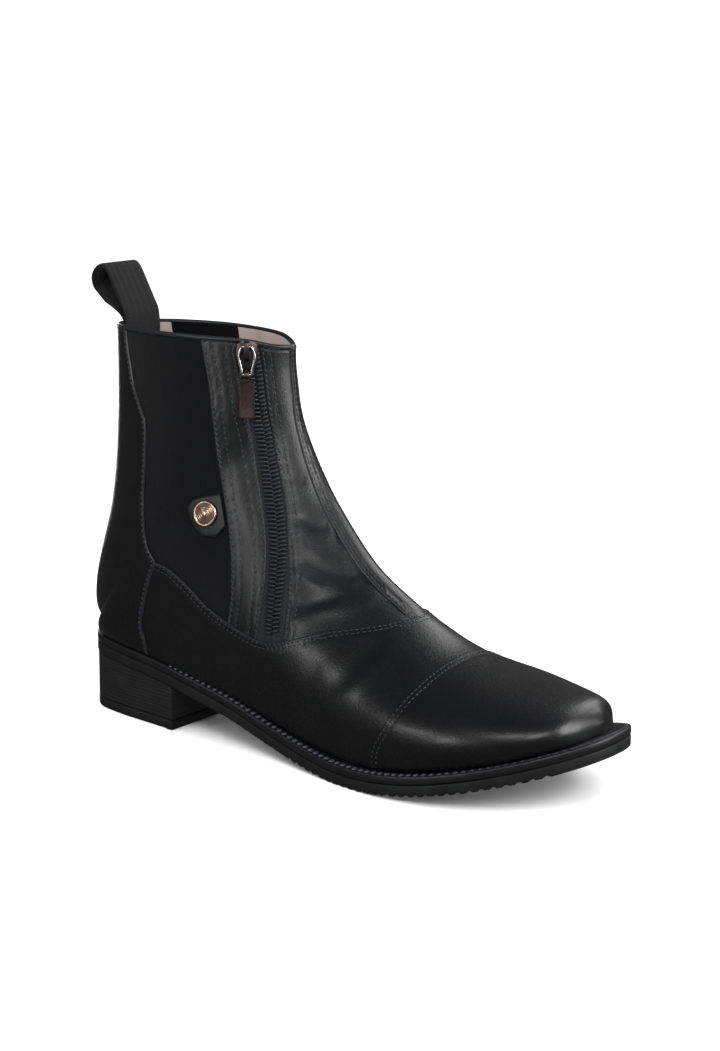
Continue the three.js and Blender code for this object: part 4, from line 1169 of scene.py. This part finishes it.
# Lining: a thin pinkish beige leather glued to the inside, turned to the collar's edge.
lining_level = overlay + leather_wall
lining = panel(
    "lining", (5.0, 16), lining_level,
    rolled=[(collar, [(1.3, 0.0), (2.0, 0.0)])],
    inside=True,
)
collar_turn = max(contour(lining, lining["reach"][0], 1.35), key=len)
collar_turn = evened(collar_turn, 0.8)
collar_turn = collar_turn[:, :3] - collar_turn[:, 3:] * 1.1 + (0, 0, 0.45)
collar_roll = tube("collar_roll", collar_turn, 1.05, 12, np.linalg.norm(collar_turn[0] - collar_turn[-1]) < 4)
finish_piece(collar_roll, black_calf)


def soft_lining():
    """Chrome-free pig lining: pale pinkish beige, matte, with a loose nap."""
    material, tree, shader = new_material("pig_lining_leather")
    place = add_node(tree, "ShaderNodeTexCoord").outputs["Object"]
    cloud = add_node(tree, "ShaderNodeTexNoise", {"Vector": place, "Scale": per_mm(9), "Detail": 4.0})
    nap = add_node(tree, "ShaderNodeTexNoise", {"Vector": place, "Scale": per_mm(0.6), "Detail": 3.0})
    tone = add_node(tree, "ShaderNodeMix", {0: cloud.outputs["Fac"], 6: srgb("97877f"), 7: srgb("b9aca5")}, data_type="RGBA")
    tree.links.new(tone.outputs[2], shader.inputs["Base Color"])
    bump = add_node(tree, "ShaderNodeBump", {"Height": nap.outputs["Fac"], "Strength": 0.4, "Distance": 0.0002})
    tree.links.new(bump.outputs["Normal"], shader.inputs["Normal"])
    shader.inputs["Roughness"].default_value = 0.85
    shader.inputs["Sheen Weight"].default_value = 0.2
    return material


pale_lining = soft_lining()
finish_piece(lining["piece"], pale_lining)
insole = frame["nodes"]["insole"]
insole.data.materials.clear()
insole.data.materials.append(pale_lining)

# Pull loop: a strap of herringbone webbing, folded over and sewn inside the back of the collar.
loop_rows = [
    [0.0720, 0.900], [0.0715, 0.995], [0.064, 1.020], [0.045, 1.045], [0.026, 1.070], [0.0110, 1.092], [0.0075, 1.117],
    [0.015, 1.139], [0.029, 1.149], [0.040, 1.136], [0.056, 1.094], [0.073, 1.044], [0.0795, 1.000], [0.0805, 0.900],
]
loop_half = 12.0
loop_thickness = 1.4
loop_line = side_line(loop_rows, 10)
loop_run = np.gradient(loop_line, axis=0)
loop_run /= np.linalg.norm(loop_run, axis=1)[:, None]
loop_out = np.stack([loop_run[:, 1], -loop_run[:, 0]], 1)
across_loop = np.concatenate([np.linspace(-1, 1, 25), np.linspace(1, -1, 25)])
up_loop = np.concatenate([np.ones(25), -np.ones(25)]) * np.sqrt(np.maximum(0.05, 1 - np.abs(across_loop) ** 24))
lining_points = lining["points"][lining["points"][:, 0] < along(0.22)]
shaft_back = lining_points[np.abs(lining_points[:, 2] - 0.985 * boot_height) < 2.5]
shaft_back = shaft_back[np.argsort(shaft_back[:, 1])]
loop_rings = []
for (x, z), (out_x, out_z) in zip(loop_line, loop_out):
    y = across_loop * loop_half
    ring_x = x + out_x * up_loop * loop_thickness / 2
    ring_z = z + out_z * up_loop * loop_thickness / 2
    wall_x = np.interp(y, shaft_back[:, 1], shaft_back[:, 0]) + 0.9
    pressed = np.clip(1 - (z - 1.0 * boot_height) / 10, 0, 1)
    ring_x = np.where(ring_x < wall_x, ring_x + (wall_x - ring_x) * pressed, ring_x)
    loop_rings.append(np.stack([ring_x, y, ring_z], 1))
loop = mesh_piece("pull_loop_webbing", *skin(loop_rings))
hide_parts("pull_loop")


def herringbone_webbing():
    """Cotton-blend webbing, woven in a herringbone about 2 mm wide: black, matte, with a dusty sheen."""
    material, tree, shader = new_material("herringbone_webbing")
    place = add_node(tree, "ShaderNodeTexCoord").outputs["Object"]
    parts = add_node(tree, "ShaderNodeSeparateXYZ", {0: place})
    zigzag = add_node(tree, "ShaderNodeMath", {0: parts.outputs["Y"], 1: 0.002}, operation="PINGPONG")
    climb = add_node(tree, "ShaderNodeMath", {0: parts.outputs["Z"], 1: parts.outputs["X"]}, operation="SUBTRACT")
    slant = add_node(tree, "ShaderNodeMath", {0: climb.outputs[0], 1: zigzag.outputs[0]}, operation="ADD")
    ribs = add_node(tree, "ShaderNodeMath", {0: slant.outputs[0], 1: 2 * math.pi / 0.0011}, operation="MULTIPLY")
    weave = add_node(tree, "ShaderNodeMath", {0: ribs.outputs[0]}, operation="SINE")
    fuzz = add_node(tree, "ShaderNodeTexNoise", {"Vector": place, "Scale": per_mm(0.4), "Detail": 3.0})
    height = add_node(tree, "ShaderNodeMath", {0: weave.outputs[0], 1: 0.5, 2: fuzz.outputs["Fac"]}, operation="MULTIPLY_ADD")
    bump = add_node(tree, "ShaderNodeBump", {"Height": height.outputs[0], "Strength": 0.8, "Distance": 0.0003})
    tree.links.new(bump.outputs["Normal"], shader.inputs["Normal"])
    tone = add_node(tree, "ShaderNodeMix", {0: fuzz.outputs["Fac"], 6: srgb("020202"), 7: srgb("0a0a0c")}, data_type="RGBA")
    tree.links.new(tone.outputs[2], shader.inputs["Base Color"])
    shader.inputs["Roughness"].default_value = 0.8
    shader.inputs["Specular IOR Level"].default_value = 0.25
    shader.inputs["Sheen Weight"].default_value = 0.05
    return material


finish_piece(loop, herringbone_webbing())

# Welt: one plate of black-dyed sole leather round the shoe, with a row of pale stitches in a groove.
def slab(name, x, outer, inner, low, high, profile):
    """A plate between two heights: x, outer and inner give its plan, profile its edge as rows of
    (inset, share of the height, extra height), from the bottom face to the top face."""
    plan = np.vstack([np.stack([x, outer], 1), np.stack([x, inner], 1)[::-1]])
    along_x = np.concatenate([x, x[::-1]])
    spaced = plan + np.where(np.arange(len(plan)) < len(x), -1e-3, 1e-3)[:, None] * np.array([0, 1])
    run = np.roll(spaced, -1, 0) - np.roll(spaced, 1, 0)
    run /= np.linalg.norm(run, axis=1)[:, None]
    out = np.stack([run[:, 1], -run[:, 0]], 1)
    rings = []
    for inset, share, extra in profile:
        flat = plan - out * inset
        z = low(along_x) + (high(along_x) - low(along_x)) * share + extra
        rings.append(np.hstack([flat, z[:, None]]))
    points, faces = skin(rings)
    faces = faces[:-2]
    count = len(plan)
    top = (len(rings) - 1) * count
    for k in range(len(x) - 1):
        a, b, c, d = k, k + 1, count - 2 - k, count - 1 - k
        faces.append([a, d, c, b])
        faces.append([top + a, top + b, top + c, top + d])
    piece = mesh_piece(name, points, faces)
    bm = bmesh.new()
    bm.from_mesh(piece.data)
    bmesh.ops.remove_doubles(bm, verts=bm.verts, dist=0.00002)
    bmesh.ops.dissolve_degenerate(bm, dist=0.00001, edges=bm.edges)
    bmesh.ops.recalc_face_normals(bm, faces=bm.faces)
    bm.to_mesh(piece.data)
    bm.free()
    piece.data.shade_smooth()
    piece.data.set_sharp_from_angle(angle=math.radians(38))
    return piece


plan_count = 150
plan_x = heel_back + sole_length * (1 - np.cos(np.linspace(0, math.pi, plan_count))) / 2


def plan_edges(x):
    return np.moveaxis(edges(share_of(x))[..., :2], -1, 0)


welt_thickness = sole_thickness - outsole_thickness - 2 * gap
welt_top = lambda x: bed(x) - gap
welt_low = lambda x: bed(x) - gap - welt_thickness
welt_profile = [
    (3.0, 0, 0), (0.5, 0, 0), (0.12, 0, 0.12), (0.0, 0, 0.4), (0.0, 1, -0.9), (0.15, 1, -0.4), (0.5, 1, -0.08),
    (1.0, 1, 0.0), (1.5, 1, -0.05), (1.8, 1, -0.35), (2.3, 1, -0.35), (2.6, 1, -0.05), (3.1, 1, 0.0),
]
welt = slab("welt_strip", plan_x, *plan_edges(plan_x), welt_low, welt_top, welt_profile)
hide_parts("welt")


def edge_leather(name, dark, light, roughness):
    """Sole leather, dyed and burnished at the edge: near black, satin, with fine lines along the edge."""
    material, tree, shader = new_material(name)
    place = add_node(tree, "ShaderNodeTexCoord").outputs["Object"]
    flat = add_node(tree, "ShaderNodeMapping", {"Vector": place, "Scale": (1.0, 1.0, 9.0)})
    lines = add_node(tree, "ShaderNodeTexNoise", {"Vector": flat.outputs[0], "Scale": per_mm(6), "Detail": 5.0, "Roughness": 0.7})
    tone = add_node(tree, "ShaderNodeMix", {0: lines.outputs["Fac"], 6: srgb(dark), 7: srgb(light)}, data_type="RGBA")
    tree.links.new(tone.outputs[2], shader.inputs["Base Color"])
    shine = add_node(tree, "ShaderNodeMapRange", {"Value": lines.outputs["Fac"], "To Min": roughness - 0.1, "To Max": roughness + 0.12})
    tree.links.new(shine.outputs[0], shader.inputs["Roughness"])
    bump = add_node(tree, "ShaderNodeBump", {"Height": lines.outputs["Fac"], "Strength": 0.5, "Distance": 0.0003})
    tree.links.new(bump.outputs["Normal"], shader.inputs["Normal"])
    return material


finish_piece(welt, edge_leather("burnished_welt_leather", "050506", "0e0e11", 0.4))
breast_x = float(along(0.234))
stitch_x = plan_x[(plan_x > breast_x - 4)]
outer_run = np.stack([stitch_x, plan_edges(stitch_x)[0]], 1)
inner_run = np.stack([stitch_x, plan_edges(stitch_x)[1]], 1)[::-1]
welt_run = np.vstack([outer_run, inner_run[1:]])
step_run = np.gradient(welt_run, axis=0)
step_run /= np.linalg.norm(step_run, axis=1)[:, None]
welt_run = welt_run - np.stack([step_run[:, 1], -step_run[:, 0]], 1) * 2.05
welt_row = np.hstack([welt_run, welt_top(welt_run[:, :1]), np.tile([0, 0, 1.0], (len(welt_run), 1))])
tick_pitch = 3.6
tick_reach = 1.5
ticks = []
for row in evened(welt_row, tick_pitch):
    ahead = welt_row[min(np.argmin(np.linalg.norm(welt_row[:, :3] - row[:3], axis=1)) + 1, len(welt_row) - 1)]
    run = ahead[:3] - row[:3]
    if np.linalg.norm(run) > 0.01:
        across = np.cross(row[3:], run / np.linalg.norm(run))
        ticks.append((row[:3] - across * tick_reach, row[:3] + across * tick_reach, row[3:]))
welt_stitches = short_rods("welt_stitches", ticks, (1.05, 0.6), -0.1)
waxed_thread, waxed_tree, waxed_shader = new_material("waxed_linen_thread")
waxed_shader.inputs["Base Color"].default_value = srgb("3a3b40")
waxed_shader.inputs["Roughness"].default_value = 0.55
finish_piece(welt_stitches, waxed_thread)

# Outsole: moulded rubber with cross ribs under the forefoot and a lightly rounded edge.
rib_from = 0.50
rib_to = 0.955
rib_count = 28
rib_depth = 0.8
rib_pitch = (rib_to - rib_from) / rib_count
rib_parts = np.array([0.0, 0.22, 0.40, 0.62])
rib_shares = (rib_from + rib_pitch * (np.arange(rib_count)[:, None] + rib_parts)).ravel()
sole_x = np.unique(np.round(np.concatenate([plan_x, along(rib_shares)]), 4))


def outsole_top(x):
    return bed(x) - sole_thickness + outsole_thickness


def outsole_low(x):
    part = (share_of(x) - rib_from) / rib_pitch
    inside = (part > -0.01) & (part < rib_count)
    lift = np.interp(np.mod(part + 0.002, 1), [0, 0.22, 0.40, 0.62, 1], [0, 1, 1, 0, 0])
    return bed(x) - sole_thickness + np.where(inside, lift * rib_depth, 0)


outsole_profile = [
    (6.0, 0, 0), (0.9, 0, 0), (0.35, 0, 0.12), (0.05, 0, 0.5), (0.0, 0, 0.9), (0.0, 1, -0.8), (0.1, 1, -0.3), (0.5, 1, -0.02),
    (3.0, 1, 0),
]
outsole = slab("outsole_rubber", sole_x, *plan_edges(sole_x), outsole_low, outsole_top, outsole_profile)
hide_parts("outsole")


def moulded_rubber():
    """Carbon black rubber from a sand-blasted mould: dark grey, satin to matte."""
    material, tree, shader = new_material("moulded_black_rubber")
    place = add_node(tree, "ShaderNodeTexCoord").outputs["Object"]
    dust = add_node(tree, "ShaderNodeTexNoise", {"Vector": place, "Scale": per_mm(7), "Detail": 4.0})
    grit = add_node(tree, "ShaderNodeTexNoise", {"Vector": place, "Scale": per_mm(0.7), "Detail": 2.0})
    tone = add_node(tree, "ShaderNodeMix", {0: dust.outputs["Fac"], 6: srgb("040405"), 7: srgb("0e0f11")}, data_type="RGBA")
    tree.links.new(tone.outputs[2], shader.inputs["Base Color"])
    shine = add_node(tree, "ShaderNodeMapRange", {"Value": dust.outputs["Fac"], "To Min": 0.42, "To Max": 0.62})
    tree.links.new(shine.outputs[0], shader.inputs["Roughness"])
    bump = add_node(tree, "ShaderNodeBump", {"Height": grit.outputs["Fac"], "Strength": 0.35, "Distance": 0.0002})
    tree.links.new(bump.outputs["Normal"], shader.inputs["Normal"])
    return material


sole_rubber = moulded_rubber()
finish_piece(outsole, sole_rubber)

# Heel: a stack of pressed leather board layers, sanded, inked and waxed, on a rubber top piece.
heel_x = heel_back + (breast_x - heel_back) * (1 - np.cos(np.linspace(0, math.pi / 2, 70)))
top_piece_thickness = 4.5


def heel_edges(inset):
    x = heel_back + inset + (heel_x - heel_back) * (breast_x - heel_back - inset) / (breast_x - heel_back)
    outer, inner = edges((x - heel_back - inset) / (sole_length - 2 * inset))[:, :2].T
    return x, np.minimum(outer + inset, 0), np.maximum(inner - inset, 0)


def level_at(z):
    return lambda x: np.full(np.shape(x), float(z))


stack_low = level_at(top_piece_thickness + gap)
stack = slab(
    "heel_layers", *heel_edges(0.25), stack_low, lambda x: bed(x) - sole_thickness - gap,
    [(0.3, 0, 0), (0.0, 0, 0.25), (0.0, 1, -0.3), (0.3, 1, 0)],
)
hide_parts("heel_stack")


def layered_board():
    """Leather board layers, inked black: fine level lines where the layers meet, satin wax over them."""
    material, tree, shader = new_material("inked_leather_board")
    place = add_node(tree, "ShaderNodeTexCoord").outputs["Object"]
    flat = add_node(tree, "ShaderNodeMapping", {"Vector": place, "Scale": (1.0, 1.0, 14.0)})
    fibres = add_node(tree, "ShaderNodeTexNoise", {"Vector": flat.outputs[0], "Scale": per_mm(14), "Detail": 6.0, "Roughness": 0.75})
    layers = add_node(tree, "ShaderNodeTexWave", {"Vector": place, "Scale": bands_mm(1.7), "Distortion": 0.8, "Detail": 2.0,
                                                  "Detail Scale": 0.6}, bands_direction="Z")
    both = add_node(tree, "ShaderNodeMath", {0: layers.outputs["Fac"], 1: 0.35, 2: fibres.outputs["Fac"]}, operation="MULTIPLY_ADD")
    tone = add_node(tree, "ShaderNodeMapRange", {"Value": both.outputs[0], "From Min": 0.3, "From Max": 1.0})
    base = add_node(tree, "ShaderNodeMix", {0: tone.outputs[0], 6: srgb("050505"), 7: srgb("191818")}, data_type="RGBA")
    tree.links.new(base.outputs[2], shader.inputs["Base Color"])
    shader.inputs["Roughness"].default_value = 0.48
    bump = add_node(tree, "ShaderNodeBump", {"Height": both.outputs[0], "Strength": 0.5, "Distance": 0.0003})
    tree.links.new(bump.outputs["Normal"], shader.inputs["Normal"])
    return material


finish_piece(stack, layered_board())
top_piece = slab(
    "heel_top_rubber", *heel_edges(0.2), level_at(0), level_at(top_piece_thickness),
    [(4.0, 0, 0), (0.6, 0, 0), (0.15, 0, 0.15), (0.0, 0, 0.6), (0.0, 1, -0.4), (0.25, 1, -0.05), (0.6, 1, 0)],
)
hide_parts("heel_top_piece")
finish_piece(top_piece, sole_rubber)

# Floor, soft studio light and the camera at the photograph's angle.
def swept_floor(reach, rise):
    """A round floor whose rim curves up all round."""
    turn = np.linspace(0, math.pi / 2, 9)
    profile = [(reach, 0)] + [(reach + rise * math.sin(a), rise - rise * math.cos(a)) for a in turn[1:]]
    bm = turned([(0, 0)] + profile, 72, False)
    mesh = bpy.data.meshes.new("floor")
    bmesh.ops.recalc_face_normals(bm, faces=bm.faces)
    bm.to_mesh(mesh)
    bm.free()
    mesh.shade_smooth()
    sheet = bpy.data.objects.new("floor", mesh)
    bpy.context.scene.collection.objects.link(sheet)
    return sheet


floor = swept_floor(5.0, 1.2)
paper, paper_tree, paper_shader = new_material("white_paper_sweep")
paper_shader.inputs["Base Color"].default_value = srgb("f6f6f6")
paper_shader.inputs["Roughness"].default_value = 0.95
paper_shader.inputs["Specular IOR Level"].default_value = 0.1
floor.data.materials.append(paper)
floor.visible_glossy = False

world = bpy.data.worlds.new("dim_studio")
bpy.context.scene.world = world
world.use_nodes = True
world.node_tree.nodes["Background"].inputs[0].default_value = srgb("ffffff")
world.node_tree.nodes["Background"].inputs[1].default_value = 0.08

overhead = bpy.data.lights.new("overhead_wash", "SUN")
overhead.energy = 4.2
overhead.angle = math.radians(110)
overhead_lamp = bpy.data.objects.new("overhead_wash", overhead)
bpy.context.scene.collection.objects.link(overhead_lamp)
overhead_lamp.location = (0, 0, 2)
overhead_lamp.visible_glossy = False


def soft_box(name, place, aim, size, power):
    light = bpy.data.lights.new(name, "AREA")
    light.shape = "RECTANGLE"
    light.size, light.size_y = size
    light.energy = power
    lamp = bpy.data.objects.new(name, light)
    bpy.context.scene.collection.objects.link(lamp)
    lamp.location = place
    lamp.rotation_euler = (Vector(aim) - Vector(place)).to_track_quat("-Z", "Y").to_euler()
    return lamp


middle = (0.1, 0.0, 0.07)
soft_box("left_box", (-0.47, -1.0, 0.55), middle, (0.2, 0.2), 1.6)
soft_box("facing_strip", (-0.07, -1.18, 0.36), middle, (0.14, 0.4), 2.6)
soft_box("front_left_box", (0.48, -0.79, 0.93), middle, (0.3, 0.3), 2.6)
soft_box("near_box", (0.96, -0.61, 0.71), middle, (0.22, 0.4), 4)
soft_box("right_box", (1.15, 0.35, 0.5), middle, (0.5, 0.8), 12)
soft_box("back_box", (0.3, 1.2, 0.9), middle, (0.9, 0.5), 6)
soft_box("heel_box", (-1.0, 0.7, 0.14), middle, (0.25, 0.5), 4)

camera_azimuth = math.radians(36.8574)
camera_elevation = math.radians(12.4208)
camera_roll = math.radians(0.1833)
camera_distance = 0.996162
camera_target = Vector((0.1142765, 0.0, 0.1031026))
camera_back = Vector((
    math.sin(camera_azimuth) * math.cos(camera_elevation),
    -math.cos(camera_azimuth) * math.cos(camera_elevation),
    math.sin(camera_elevation),
))
camera_data = bpy.data.cameras.new("camera")
camera_data.sensor_fit = "HORIZONTAL"
camera_data.sensor_width = 36.0
camera_data.lens = 112.506
camera = bpy.data.objects.new("camera", camera_data)
bpy.context.scene.collection.objects.link(camera)
camera.location = camera_target + camera_back * camera_distance
camera.rotation_euler = (camera_back.to_track_quat("Z", "Y") @ Matrix.Rotation(camera_roll, 3, "Z").to_quaternion()).to_euler()
bpy.context.scene.camera = camera
bpy.context.scene.view_settings.view_transform = "Standard"
